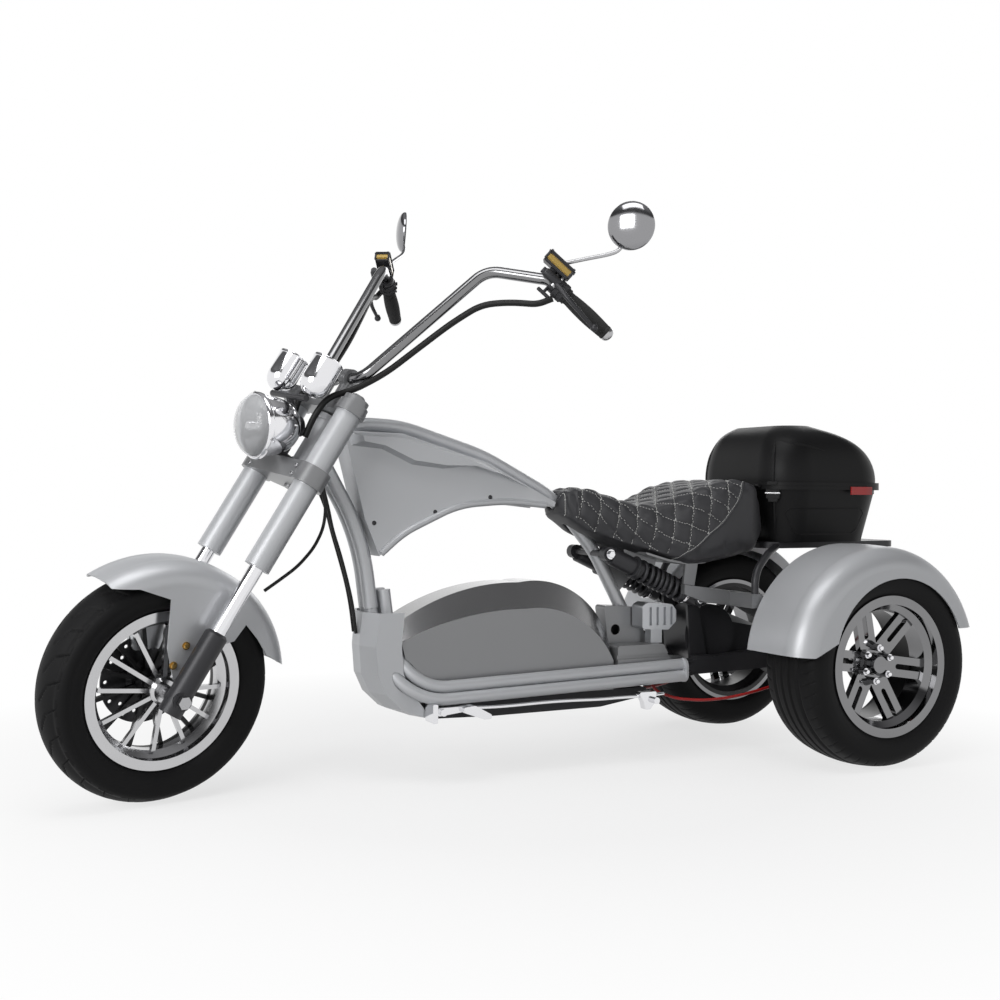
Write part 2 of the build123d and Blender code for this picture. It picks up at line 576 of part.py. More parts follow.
def grip_plane(share, side):
    """Plane square to the grip run of the bar, x roughly up."""
    along = Vector(*bar_point(1, side=side)) - Vector(*bar_point(0, side=side))
    across = along.cross(Vector(0, 0, 1)).normalized()
    return Plane(origin=Vector(*bar_point(share, side=side)), x_dir=across.cross(along), z_dir=along)


def handlebar_tube(radius):
    """Handlebar from grip end to grip end, or the room it takes, for a larger radius."""
    left = [(BAR_CENTRE.X, BAR_KNEE_SIDE, BAR_CENTRE.Z), BAR_BEND, BAR_STEM, BAR_END]
    run = [(x, -y, z) for x, y, z in reversed(left)] + left
    return bent_tube(run, radius, [28, 60, 48, 48, 60, 28])


def control_cluster(side):
    """Switch housing, brake master cylinder with its reservoir, and the lever on one grip."""
    plane = grip_plane(0.14, side)
    housing = extrude(plane * Circle(22), 25)
    perch_plane = grip_plane(0.06, side)
    perch = extrude(perch_plane * Circle(19), 15)
    bar_space = extrude(perch_plane.offset(-20) * Circle(BAR_R + PART_GAP), 80)
    perch_centre = perch_plane.origin
    up = perch_plane.x_dir
    along = perch_plane.z_dir
    ahead = up.cross(along) * (1 if side == 1 else -1)
    tank_plane = Plane(origin=perch_centre + up * 24 + ahead * -6 - along * 14, x_dir=along, z_dir=up)
    tank = extrude(tank_plane * RectangleRounded(74, 40, 7), 26)
    neck = extrude(Plane(origin=perch_centre + up * 15 + along * 8, z_dir=up) * Circle(9), 10)
    root = perch_centre + ahead * 15 + along * 10
    elbow = root + ahead * 16 + along * 34 - up * 6
    tip = root + ahead * 28 + along * 128 - up * 14
    lever = rod(root, elbow, 6) + rod(elbow, tip, 5.5) + Pos(*tuple(tip)) * Sphere(9)
    lever += Pos(*tuple(elbow)) * Sphere(6)
    space = mirror_stem(side, MIRROR_STEM_R + PART_GAP)
    return (housing + perch + tank + neck + lever) - space - bar_space


def round_bowl(centre, face, radius, depth):
    """Shallow solid bowl with a flat face: the face looks along the given direction."""
    profile = make_face(Line((0, 3), (radius - 2, 3)) + Line((radius - 2, 3), (radius, 0))
                        + ThreePointArc((radius, 0), (radius * 0.74, -depth * 0.62), (0, -depth))
                        + Line((0, -depth), (0, 3)))
    turned_up = revolve(profile, Axis.Y, 360)
    frame = Plane(origin=centre, x_dir=face.cross(Vector(0, 0, 1)), z_dir=Vector(0, 0, 1))
    # local y of that plane runs along the face direction or against it
    if frame.y_dir.dot(face) < 0:
        frame = Plane(origin=centre, x_dir=Vector(0, 0, 1).cross(face), z_dir=Vector(0, 0, 1))
    return frame * turned_up


def mirror_stem(side, radius):
    """Bent stem of one mirror, or the room it takes, for a larger radius."""
    return bent_tube([(x, side * y, z) for x, y, z in MIRROR_STEM], radius, [16, 14])


def mirror_and_stem(side):
    """Round mirror on its bent stem, screwed into the control housing."""
    stem = mirror_stem(side, MIRROR_STEM_R)
    centre = Vector(MIRROR_CENTRE[0], side * MIRROR_CENTRE[1], MIRROR_CENTRE[2])
    face = Vector(-cos(radians(MIRROR_YAW)), -side * sin(radians(MIRROR_YAW)), 0)
    return stem + round_bowl(centre, face, MIRROR_R, 19.0)


def make_bars():
    """Handlebar with grips, controls, levers and mirrors."""
    add("handlebar", handlebar_tube(BAR_R), steered=True)
    grips = []
    controls = []
    mirrors = []
    for side in (1, -1):
        grip = rod(bar_point(0.30, side=side), bar_point(1.0, side=side), GRIP_R)
        end_dir = Vector(*bar_point(1, side=side)) - Vector(*bar_point(0, side=side))
        end_plane = Plane(origin=Vector(*bar_point(1.0, side=side)), z_dir=end_dir)
        grip += extrude(end_plane * Circle(GRIP_R - 2), 10, taper=25)
        grip -= rod(bar_point(-0.1, side=side), bar_point(1.002, side=side), BAR_R + PART_GAP)
        grips.append(grip)
        controls.append(control_cluster(side))
        mirrors.append(mirror_and_stem(side))
    add("grips", *grips, steered=True)
    add("bar_controls", *controls, steered=True)
    add("mirrors", *mirrors, steered=True)


def make_lamp():
    """Headlamp bowl and glass on its bracket, and the two cup-shaped gauge pods."""
    x_rim, z_rim = LAMP_CENTRE
    at = Pos(x_rim, 0, z_rim) * Rot(0, 0, -90)
    # local y of the turned profile points ahead along the trike's X
    bowl_back = Spline((30, -LAMP_DEPTH), (LAMP_R * 0.84, -LAMP_DEPTH * 0.56), (LAMP_R, -6),
                       tangents=[(1, 0), (0, 1)])
    bowl_inside = Spline((LAMP_R - 4, 0), (LAMP_R * 0.72, -LAMP_DEPTH * 0.5), (0, 10 - LAMP_DEPTH),
                         tangents=[(0, -1), (-1, 0)])
    bowl = revolve(make_face(
        Line((0, -LAMP_DEPTH), (30, -LAMP_DEPTH)) + bowl_back
        + Polyline((LAMP_R, -6), (LAMP_R + 3, -6), (LAMP_R + 3, 0), (LAMP_R - 4, 0)) + bowl_inside
        + Line((0, 10 - LAMP_DEPTH), (0, -LAMP_DEPTH))), Axis.Y, 360)
    bowl_outside = revolve(make_face(
        Line((0, -LAMP_DEPTH), (30, -LAMP_DEPTH)) + bowl_back
        + Polyline((LAMP_R, -6), (LAMP_R, 0), (0, 0), (0, -LAMP_DEPTH))), Axis.Y, 360)
    add("headlamp_bowl", at * bowl, steered=True)
    glass_in = LAMP_R - 4
    glass = revolve(make_face(
        Line((glass_in, PART_GAP), (LAMP_R, PART_GAP))
        + Spline((LAMP_R, PART_GAP), (LAMP_R * 0.74, GLASS_BULGE * 0.58), (0, GLASS_BULGE),
                 tangents=[(0, 1), (-1, 0)])
        + Line((0, GLASS_BULGE), (0, GLASS_BULGE - 4))
        + Spline((0, GLASS_BULGE - 4), (LAMP_R * 0.70, GLASS_BULGE * 0.52), (glass_in, PART_GAP),
                 tangents=[(1, 0), (0, -1)])), Axis.Y, 360)
    add("headlamp_glass", at * glass, steered=True)
    foot_low = LOWER_CLAMP_LOW + LOWER_CLAMP_T + PART_GAP
    bracket = extrude(fork_plane(foot_low, 22) * Rectangle(70, 26), 6)
    back = Vector(x_rim - LAMP_DEPTH - PART_GAP, 0, z_rim)
    yoke = rod(tuple(fork_point(foot_low + 3, 26)), (back.X - 8, 0, z_rim - 8), 9)
    bracket += yoke + extrude(Plane(origin=back, z_dir=(-1, 0, 0)) * Circle(22), 14)
    bar_up = POD_LOW - POD_BAR_R - PART_GAP
    bracket += rod((back.X - 8, 0, z_rim), tuple(fork_point(bar_up, POD_AHEAD)), 8)
    bracket += rod(tuple(fork_point(bar_up, POD_AHEAD, -POD_SIDE)),
                   tuple(fork_point(bar_up, POD_AHEAD, POD_SIDE)), POD_BAR_R)
    bracket -= at * bowl_outside
    add("lamp_bracket", max(bracket.solids(), key=lambda s: s.volume), steered=True)
    pods = []
    for sign in (-1, 1):
        plane = fork_plane(POD_LOW, POD_AHEAD, sign * POD_SIDE)
        cup = revolve(make_face(
            Line((0, 0), (8, 0)) + ThreePointArc((8, 0), (POD_R * 0.80, 11), (POD_R, 34))
            + Line((POD_R, 34), (POD_R, POD_TALL)) + Line((POD_R, POD_TALL), (POD_R - 5, POD_TALL))
            + Line((POD_R - 5, POD_TALL), (POD_R - 5, POD_TALL - 5))
            + Line((POD_R - 5, POD_TALL - 5), (0, POD_TALL - 5)) + Line((0, POD_TALL - 5), (0, 0))),
            Axis.Y, 360)
        pods.append(plane * Rot(90, 0, 0) * cup)
    add("gauge_pods", *pods, steered=True)


def front_fender_outline():
    """Side outline of the front fender: crown arc, pointed skirts and the strut to each slider."""
    centre = Vector(AXLE_FRONT.X, AXLE_FRONT.Z)

    def polar(radius, angle_deg):
        angle = radians(angle_deg)
        return (centre.X + radius * cos(angle), centre.Y + radius * sin(angle))

    big = FRONT_FENDER_R + 6
    tip_deg, rear_deg = 60.0, 173.0
    rear_low = polar(FRONT_FENDER_R - 6, rear_deg)
    return (Polyline(polar(big, tip_deg), polar(FRONT_FENDER_R - 14, tip_deg), polar(236, 71),
                     polar(199, 87), polar(98, 82), polar(34, 92), polar(32, 128), polar(112, 128),
                     polar(168, 143), polar(209, 140), polar(214, 152), polar(222, 163), rear_low,
                     polar(big, rear_deg))
            + ThreePointArc(polar(big, rear_deg), polar(big, (tip_deg + rear_deg) / 2), polar(big, tip_deg)))


def make_front_fender():
    """Front fender: a pressed arch over the tyre, its skirts reaching down to the sliders."""
    half = FRONT_FENDER_HALF
    wall = FENDER_WALL
    r = FRONT_FENDER_R
    out = make_face(Polyline((r - 260, half), (r - 52, half))
                    + ThreePointArc((r - 52, half), (r - 14, half - 14), (r - 2, half - 50))
                    + ThreePointArc((r - 2, half - 50), (r, 0), (r - 2, 50 - half))
                    + ThreePointArc((r - 2, 50 - half), (r - 14, 14 - half), (r - 52, -half))
                    + Polyline((r - 52, -half), (r - 260, -half), (r - 260, half)))
    inside = make_face(Polyline((r - 262, half - wall), (r - 52, half - wall))
                       + ThreePointArc((r - 52, half - wall), (r - 17, half - 17), (r - 2 - wall, half - 51))
                       + ThreePointArc((r - 2 - wall, half - 51), (r - wall, 0), (r - 2 - wall, 51 - half))
                       + ThreePointArc((r - 2 - wall, 51 - half), (r - 17, 17 - half), (r - 52, wall - half))
                       + Polyline((r - 52, wall - half), (r - 262, wall - half), (r - 262, half - wall)))
    centre = tuple(AXLE_FRONT)
    shell = turned(out, centre) - turned(inside, centre)
    mask = side_slab(front_fender_outline(), -half - 5, half + 5)
    room = ((-4, -3), (3, -3), (3, 3), (-4, 3))
    lug_space = side_slab(Polyline(*[(AXLE_FRONT.X + x + dx, AXLE_FRONT.Z + z + dz) for (x, z), (dx, dz) in
                                     zip(CALIPER_LUG, room)], close=True), -half - 5, -half / 2)
    fender = (shell & mask) - lug_space
    add("front_fender", max(fender.solids(), key=lambda s: s.volume), steered=True)


def make_front_brake():
    """Front caliper on the right slider, and the hose and switch cables that turn with the bars."""
    y_mid = -DISC_OFFSET + DISC_T / 2
    body = side_slab(FilletPolyline(
        *[(AXLE_FRONT.X + x, AXLE_FRONT.Z + z) for x, z in
          ((-34, 66), (34, 66), (34, 112), (-34, 122))], radius=9, close=True), y_mid - 15.4, y_mid + 15)
    slot = Pos(AXLE_FRONT.X, y_mid, AXLE_FRONT.Z) * Rot(90, 0, 0) * Cylinder(DISC_R + 4, DISC_T + 2.4)
    lug = side_slab(FilletPolyline(
        *[(AXLE_FRONT.X + x, AXLE_FRONT.Z + z) for x, z in CALIPER_LUG],
        radius=6, close=True), -LEG_SPREAD / 2 - 6, y_mid - 16)
    keep_off = extrude(fork_plane(-60, 0, -LEG_SPREAD / 2) * Circle(SLIDER_R + PART_GAP), 300)
    add("front_caliper", (body - slot) + lug - keep_off, steered=True)


def make_front():
    """Steered group: fork, clamps, bars, lamp, fender and brake."""
    make_fork()
    make_clamps()
    make_bars()
    make_lamp()
    make_front_fender()
    make_front_brake()
    make_steered_cables()


def make_steered_cables():
    """Cable bundles under the bars, and the front brake hose with its loop behind the left leg."""
    bundles = []
    for side in (1, -1):
        points = [(x, side * y, z) for x, y, z in BAR_CABLE_ROUTE]
        bundles.append(cord("bar cables", points, BAR_CABLE_R))
    hose = cord("front brake hose", FRONT_HOSE_ROUTE, HOSE_R)
    add("bar_cables", *bundles, steered=True)
    add("front_brake_hose", hose, steered=True)


# Frame


def make_frame():
    """Head tube, backbone, twin downtube, footrest rails and the bracket box behind them."""
    low = LOWER_CLAMP_LOW + LOWER_CLAMP_T + HEAD_GAP / 2
    top = SLEEVE_TOP - TOP_CLAMP_T - HEAD_GAP / 2
    head = extrude(fork_plane(low, -LEG_LEAD) * Circle(HEAD_TUBE_R), top - low)
    head += extrude(fork_plane(low, -LEG_LEAD) * Circle(HEAD_TUBE_R + 3), 14)
    head += extrude(fork_plane(top - 14, -LEG_LEAD) * Circle(HEAD_TUBE_R + 3), 14)
    head -= extrude(fork_plane(low - 5, -LEG_LEAD) * Circle(STEM_R + PART_GAP), top - low + 10)
    add("head_tube", head)
    head_space = extrude(fork_plane(low, -LEG_LEAD) * Circle(HEAD_TUBE_R + PART_GAP), top - low)
    for cup_low in (low - 5, top - 14 - PART_GAP):
        head_space += extrude(fork_plane(cup_low, -LEG_LEAD) * Circle(HEAD_TUBE_R + 3 + PART_GAP), 19 + PART_GAP)
    backbone = bent_tube([(x, 0, z) for x, z in BACKBONE_LINE], FRAME_TUBE_R, BACKBONE_BENDS)
    pin_hole = rod((SHOCK_TOP[0], -60, SHOCK_TOP[1]), (SHOCK_TOP[0], 60, SHOCK_TOP[1]), SHOCK_PIN_R + PART_GAP)
    below_bracket = side_slab(Polyline(*BRACKET_TOP_SPACE, close=True), -40, 40)
    clamp_swing = extrude(fork_plane(SLEEVE_TOP - TOP_CLAMP_T - HEAD_GAP, -LEG_LEAD) * Circle(CLAMP_SWING_R), 40)
    add("backbone_tube", backbone - head_space - pin_hole - below_bracket - clamp_swing)
    twins = []
    for sign in (-1, 1):
        line = [(x, sign * TWIN_OFFSET, z) for x, z in DOWNTUBE_LINE]
        twins.append(bent_tube(line, FRAME_TUBE_R, DOWNTUBE_BENDS))
    backbone_space = bent_tube([(x, 0, z) for x, z in BACKBONE_LINE], FRAME_TUBE_R + PART_GAP, BACKBONE_BENDS)
    add("downtube", *[max((twin - head_space - backbone_space).solids(), key=lambda s: s.volume)
                      for twin in twins])
    tubes = [bent_tube([(x, -y, z) for x, y, z in line], RAIL_TUBE_R, bends)
             for line, bends in ((RAIL_OUTER_LINE, RAIL_OUTER_BENDS), (RAIL_INNER_LINE, RAIL_INNER_BENDS))]
    rail = tubes[0] + tubes[1]
    middle = (RAIL_OUTER_LINE[-1][2] + RAIL_INNER_LINE[-1][2]) / 2
    cap = Plane(origin=(RAIL_OUTER_LINE[-1][0], -RAIL_SIDE, middle), x_dir=(0, 0, 1), z_dir=(-1, 0, 0))
    tall = RAIL_INNER_LINE[-1][2] - RAIL_OUTER_LINE[-1][2] + 2 * RAIL_TUBE_R + 4
    rail += extrude(cap * SlotOverall(tall, 2 * RAIL_TUBE_R + 12), 6)
    add("side_rail_right", rail)
    add("side_rail_left", mirror(rail, about=Plane.XZ))
    bracket = side_slab(FilletPolyline(*BRACKET_OUTLINE, radius=8, close=True), -BRACKET_HALF, BRACKET_HALF)
    hollow = side_slab(Polyline(*BRACKET_INSIDE, close=True), -BRACKET_HALF + 4, BRACKET_HALF - 4)
    socket = Pos(*SOCKET_AT) * Rot(90, 0, 0) * Cylinder(13, 12)
    cross = side_slab(FilletPolyline(*CROSSMEMBER_OUTLINE, radius=7, close=True), -CROSS_HALF, CROSS_HALF)
    groove = side_slab(FilletPolyline(*CROSS_GROOVE, radius=5, close=True), CROSS_HALF - 5, CROSS_HALF + 1)
    cheek = side_slab(Polyline(*CHEEK_OUTLINE, close=True), CHEEK_IN, CHEEK_OUT)
    cheek -= rod((PIVOT[0], 0, PIVOT[1]), (PIVOT[0], CROSS_HALF, PIVOT[1]), PIVOT_R + PART_GAP)
    cross = cross - groove - mirror(groove, about=Plane.XZ) + cheek + mirror(cheek, about=Plane.XZ)
    add("rear_crossmember", cross, bracket - hollow - socket)


def offset_line(points, distance):
    """Side line moved square to itself, downwards for a positive distance on a line drawn rearwards."""
    moved = []
    for k, (x, z) in enumerate(points):
        before = points[max(k - 1, 0)]
        after = points[min(k + 1, len(points) - 1)]
        run = Vector(after[0] - before[0], after[1] - before[1]).normalized()
        moved.append((x - run.Y * distance * -1 * -1, z + run.X * distance))
    return moved


def ruled_flank(face_points, small_points, y_from, y_to):
    """Flank lofted from one side outline to another of as many corners."""
    near = Plane.XZ.offset(-y_from) * make_face(Polyline(*face_points, close=True))
    far = Plane.XZ.offset(-y_to) * make_face(Polyline(*small_points, close=True))
    return loft([near, far], ruled=True)


def make_tank():
    """Tank-shaped cover slung under the backbone: a slim web with an S-edged shoulder each side."""
    upper = offset_line(TANK_TOP_LINE, FRAME_TUBE_R + PART_GAP)
    start, middle, end = TANK_ARCH
    web_outline = (Polyline(*upper, end) + ThreePointArc(end, middle, start)
                   + Polyline(start, TANK_FRONT_LOW, upper[0]))
    web = side_slab(web_outline, -TANK_WEB_HALF, TANK_WEB_HALF)
    body = web
    for sign in (-1, 1):
        flank = ruled_flank(TANK_SHOULDER, TANK_SHOULDER_OUT, TANK_WEB_HALF - 2, TANK_HALF)
        body += flank if sign == 1 else mirror(flank, about=Plane.XZ)
    lip_line = [(x, 0, z) for x, z in TANK_LIP_LINE]
    for sign in (-1, 1):
        lip = bent_tube([(x, sign * TANK_WEB_HALF, z) for x, _, z in lip_line], 8, TANK_LIP_BENDS)
        body += lip
    for tube_line, bends, offsets in ((BACKBONE_LINE, BACKBONE_BENDS, (0,)),
                                      (DOWNTUBE_LINE, DOWNTUBE_BENDS, (-TWIN_OFFSET, TWIN_OFFSET))):
        for y in offsets:
            body -= bent_tube([(x, y, z) for x, z in tube_line], FRAME_TUBE_R + PART_GAP, bends)
    body -= extrude(fork_plane(500, -LEG_LEAD) * Circle(HEAD_TUBE_R + 3 + PART_GAP), 220)
    add("tank_cover", max(body.solids(), key=lambda s: s.volume))


def make_battery():
    """Arched battery housing on the rails, its flat side panels, the front shield and belly pan."""
    rail_space = []
    for sign in (-1, 1):
        for line, bends in ((RAIL_OUTER_LINE, RAIL_OUTER_BENDS), (RAIL_INNER_LINE, RAIL_INNER_BENDS)):
            points = [(x, sign * y, z) for x, y, z in line]
            rail_space.append(bent_tube(points, RAIL_TUBE_R + 1.0, bends))
    rear_foot, rear_mid, crest, front_mid, front_tip = BATTERY_CREST
    crest_outline = (Polyline((rear_foot[0], BATTERY_FLOOR), rear_foot)
                     + ThreePointArc(rear_foot, rear_mid, crest) + ThreePointArc(crest, front_mid, front_tip)
                     + Polyline(front_tip, (BATTERY_NOSE, BATTERY_FLOOR), (rear_foot[0], BATTERY_FLOOR)))
    core = side_slab(crest_outline, -BATTERY_CORE_HALF, BATTERY_CORE_HALF)
    p_rear, p_rear_mid, p_crest, p_front_mid, p_front = PANEL_EDGE
    panel_outline = (Polyline((p_rear[0], BATTERY_FLOOR), p_rear)
                     + ThreePointArc(p_rear, p_rear_mid, p_crest) + ThreePointArc(p_crest, p_front_mid, p_front)
                     + Polyline(p_front, (BATTERY_NOSE, BATTERY_FLOOR), (p_rear[0], BATTERY_FLOOR)))
    shoulder = loft([Plane.XZ.offset(-BATTERY_CORE_HALF) * make_face(crest_outline),
                     Plane.XZ.offset(-BATTERY_HALF) * make_face(panel_outline)], ruled=True)
    housing = core + shoulder + mirror(shoulder, about=Plane.XZ)
    panel = side_slab(panel_outline, BATTERY_HALF + PART_GAP, BATTERY_HALF + PANEL_T)
    for space in rail_space:
        housing -= space
        panel -= space
    add("battery_housing", max(housing.solids(), key=lambda s: s.volume))
    panel = max(panel.solids(), key=lambda s: s.volume)
    add("battery_panels", *both_sides(panel))

    def shield_block(edge, half):
        rear = list(reversed(SHIELD_REAR))
        middle = [(x + 20, z) for x, z in edge] + rear
        block = side_slab(Polyline(*middle, close=True), -24, 24)
        wing = ruled_flank(middle, list(edge) + rear, 24, half)
        return block + wing + mirror(wing, about=Plane.XZ)

    shield = shield_block(SHIELD_EDGE, SHIELD_HALF) - shield_block(SHIELD_INSIDE, SHIELD_HALF - SHIELD_WALL)
    for space in rail_space:
        shield -= space
    add("front_shield", max(shield.solids(), key=lambda s: s.volume))
    pan = side_slab(FilletPolyline(*BELLY_OUTLINE, radius=5, close=True), -BELLY_HALF, BELLY_HALF)
    pan_inside = side_slab(Polyline(*BELLY_INSIDE, close=True), -BELLY_HALF + 3, BELLY_HALF - 3)
    add("belly_pan", pan - pan_inside)


def make_seat():
    """Saddle as a closed soft solid: its side outline met with its plan, on the plate that carries it."""
    side_block = side_slab(Polyline(*SEAT_TOP, *SEAT_BOTTOM, close=True), -170, 170)
    plan = make_face(Polyline(*[(x, y) for x, y in SEAT_PLAN], *[(x, -y) for x, y in reversed(SEAT_PLAN)],
                              close=True))
    plan_block = Pos(0, 0, 400) * extrude(plan, 400)
    tube_space = bent_tube([(x, 0, z) for x, z in BACKBONE_LINE], FRAME_TUBE_R + 2, BACKBONE_BENDS)
    seat = (side_block & plan_block) - tube_space
    add("seat", max(seat.solids(), key=lambda s: s.volume))
    plate = side_slab(Polyline(*SEAT_PLATE, close=True), -SEAT_PLATE_HALF, SEAT_PLATE_HALF)
    ear = side_slab(Polyline(*SEAT_EAR, close=True), SEAT_EAR_SIDE, SEAT_EAR_SIDE + 4)
    stay = side_slab(Polyline(*SEAT_STAY, close=True), -4, 4)
    strut = side_slab(Polyline(*SEAT_STRUT, close=True), SEAT_PLATE_HALF - 8, SEAT_PLATE_HALF)
    mount = plate + ear + mirror(ear, about=Plane.XZ) + stay + strut + mirror(strut, about=Plane.XZ)
    tube = bent_tube([(x, 0, z) for x, z in BACKBONE_LINE], FRAME_TUBE_R + PART_GAP, BACKBONE_BENDS)
    pin_space = rod((SHOCK_TOP[0], -95, SHOCK_TOP[1]), (SHOCK_TOP[0], 95, SHOCK_TOP[1]), SHOCK_PIN_R + 2)
    add("seat_mount", max((mount - tube - pin_space).solids(), key=lambda s: s.volume))


def make_rear():
    """Shocks, swing arms, axle and drive block, cross beam, fenders, rack, case and tail lamp."""
    top = Vector(SHOCK_TOP[0], SHOCK_SIDE, SHOCK_TOP[1])
    low = Vector(SHOCK_LOW[0], SHOCK_SIDE, SHOCK_LOW[1])
    line = low - top
    long = line.length
    frame = Plane(origin=top, x_dir=(0, 1, 0), z_dir=line)
    upper = extrude(frame.offset(10) * Circle(22), 88)
    upper += rod((top.X, SHOCK_SIDE - 11, top.Z), (top.X, SHOCK_SIDE + 11, top.Z), 17)
    core = extrude(frame.offset(95) * Circle(13), long - 95 - 10)
    lower = extrude(frame.offset(long - 62) * Circle(21), 46)
    lower += rod((low.X, SHOCK_SIDE - 11, low.Z), (low.X, SHOCK_SIDE + 11, low.Z), 16)
    body = upper + core + lower
    body -= rod((top.X, 0, top.Z), (top.X, 200, top.Z), SHOCK_PIN_R + PART_GAP)
    body -= rod((low.X, 0, low.Z), (low.X, 200, low.Z), SHOCK_PIN_R + PART_GAP)
    pin = rod((top.X, -SHOCK_SIDE - 15, top.Z), (top.X, SHOCK_SIDE + 15, top.Z), SHOCK_PIN_R)
    add("shock_bodies", *both_sides(body), pin)
    turns = 9
    free = long - 62 - 98 - 2 * PART_GAP
    pitch = free / turns
    rings = [(13 + PART_GAP, 0)]
    for k in range(turns):
        base = k * pitch
        rings += [(17.5, base), (25, base + pitch * 0.25), (25, base + pitch * 0.6), (17.5, base + pitch * 0.85)]
    rings += [(17.5, free), (13 + PART_GAP, free)]
    coil = revolve(make_face(Polyline(*rings, close=True)), Axis.Y, 360)
    spring = frame.offset(98 + PART_GAP) * Rot(90, 0, 0) * coil
    add("shock_springs", *both_sides(spring))
    arm = side_slab(Polyline(*SWINGARM_OUTLINE, close=True), SWING_IN, SWING_OUT)
    tower = side_slab(Polyline(*TOWER_OUTLINE, close=True), SWING_IN - TOWER_SET_IN, SWING_IN - 2)
    foot = side_slab(Polyline(*TOWER_FOOT, close=True), SWING_IN - TOWER_SET_IN, SWING_OUT)
    stub = rod((low.X, SWING_IN - TOWER_SET_IN, low.Z), (low.X, SHOCK_SIDE + 15, low.Z), SHOCK_PIN_R)
    boss = rod((PIVOT[0], SWING_IN, PIVOT[1]), (PIVOT[0], SWING_OUT, PIVOT[1]), 20)
    housing_bore = rod((0, 0, AXLE_REAR_Z), (0, 200, AXLE_REAR_Z), AXLE_TUBE_R + PART_GAP)
    pivot_bore = rod((PIVOT[0], 0, PIVOT[1]), (PIVOT[0], 200, PIVOT[1]), PIVOT_R + PART_GAP)
    swing = arm + tower + foot + stub + boss - housing_bore - pivot_bore
    pivot = rod((PIVOT[0], -SWING_OUT - 6, PIVOT[1]), (PIVOT[0], SWING_OUT + 6, PIVOT[1]), PIVOT_R)
    add("swing_arms", *both_sides(max(swing.solids(), key=lambda s: s.volume)), pivot)
    housing = rod((0, -AXLE_TUBE_HALF, AXLE_REAR_Z), (0, AXLE_TUBE_HALF, AXLE_REAR_Z), AXLE_TUBE_R)
    housing += Pos(0, 0, AXLE_REAR_Z) * Rot(90, 0, 0) * Cylinder(70, 92)
    motor = Pos(MOTOR[0], 0, MOTOR[1]) * Rot(90, 0, 0) * Cylinder(MOTOR_R, 2 * MOTOR_HALF)
    neck = side_slab(Polyline((MOTOR[0], MOTOR[1] - 40), (0, AXLE_REAR_Z - 45), (0, AXLE_REAR_Z + 45),
                              (MOTOR[0], MOTOR[1] + 40), close=True), -34, 34)
    add("drive_unit", housing + motor + neck)
    beam = side_slab(Polyline(*BEAM_OUTLINE, close=True), -BEAM_HALF, BEAM_HALF)
    side_arm = side_slab(Polyline(*SIDE_ARM_OUTLINE, close=True), SIDE_ARM_IN, SIDE_ARM_OUT)
    carrier = side_slab(Polyline(*CARRIER_OUTLINE, close=True), CARRIER_SIDE, CARRIER_SIDE + 8)
    carrier -= housing_bore
    beam_all = beam + side_arm + mirror(side_arm, about=Plane.XZ) + carrier + mirror(carrier, about=Plane.XZ)
    add("cross_beam", beam_all)
    caliper = side_slab(FilletPolyline(*REAR_CALIPER, radius=8, close=True), 26, 74)
    for k in range(4):
        caliper -= Pos(402 + 20 * k, 72, 352) * Box(7, 12, 44)
    caliper += side_slab(Polyline((420, 285.3), (452, 285.3), (452, 320), (420, 320), close=True), 34, 60)
    add("rear_caliper", caliper)


def rear_fender():
    """Left rear fender: a deep pressed arch with an inner flange and a cut-away outer wall."""
    r = FENDER_R
    wall = FENDER_WALL
    inn, out = FENDER_IN, FENDER_OUT
    skin = make_face(
        Line((r - 32, inn), (r - 14, inn)) + ThreePointArc((r - 14, inn), (r - 4, inn + 4), (r - 1, inn + 14))
        + ThreePointArc((r - 1, inn + 14), (r, inn + 80), (r - 3, out - 60))
        + ThreePointArc((r - 3, out - 60), (r - 18, out - 18), (r - 56, out))
        + Line((r - 56, out), (r - 140, out)) + Line((r - 140, out), (r - 140, out - wall))
        + Line((r - 140, out - wall), (r - 56, out - wall))
        + ThreePointArc((r - 56, out - wall), (r - 21, out - 21), (r - 3 - wall, out - 61))
        + ThreePointArc((r - 3 - wall, out - 61), (r - wall, inn + 80), (r - 1 - wall, inn + 15))
        + ThreePointArc((r - 1 - wall, inn + 15), (r - 7, inn + 7), (r - 14, inn + wall))
        + Line((r - 14, inn + wall), (r - 32, inn + wall)) + Line((r - 32, inn + wall), (r - 32, inn)))
    ring = turned(skin, (0, 0, AXLE_REAR_Z))
    reach = r + 20
    front = (reach, AXLE_REAR_Z + 36)
    rear = (-reach, AXLE_REAR_Z + 84)
    cover = side_slab(Polyline((0, AXLE_REAR_Z + 40), (150, AXLE_REAR_Z + 72), (235, AXLE_REAR_Z + 32), front,
                               (reach, reach + AXLE_REAR_Z), (-reach, reach + AXLE_REAR_Z), rear,
                               (0, AXLE_REAR_Z + 84), close=True), inn - 5, out + 5)
    opening = Pos(OPENING_AT[0], out, OPENING_AT[1]) * Rot(90, 0, 0) * Cylinder(OPENING_R, 30)
    fender = (ring & cover) - opening
    return max(fender.solids(), key=lambda s: s.volume)


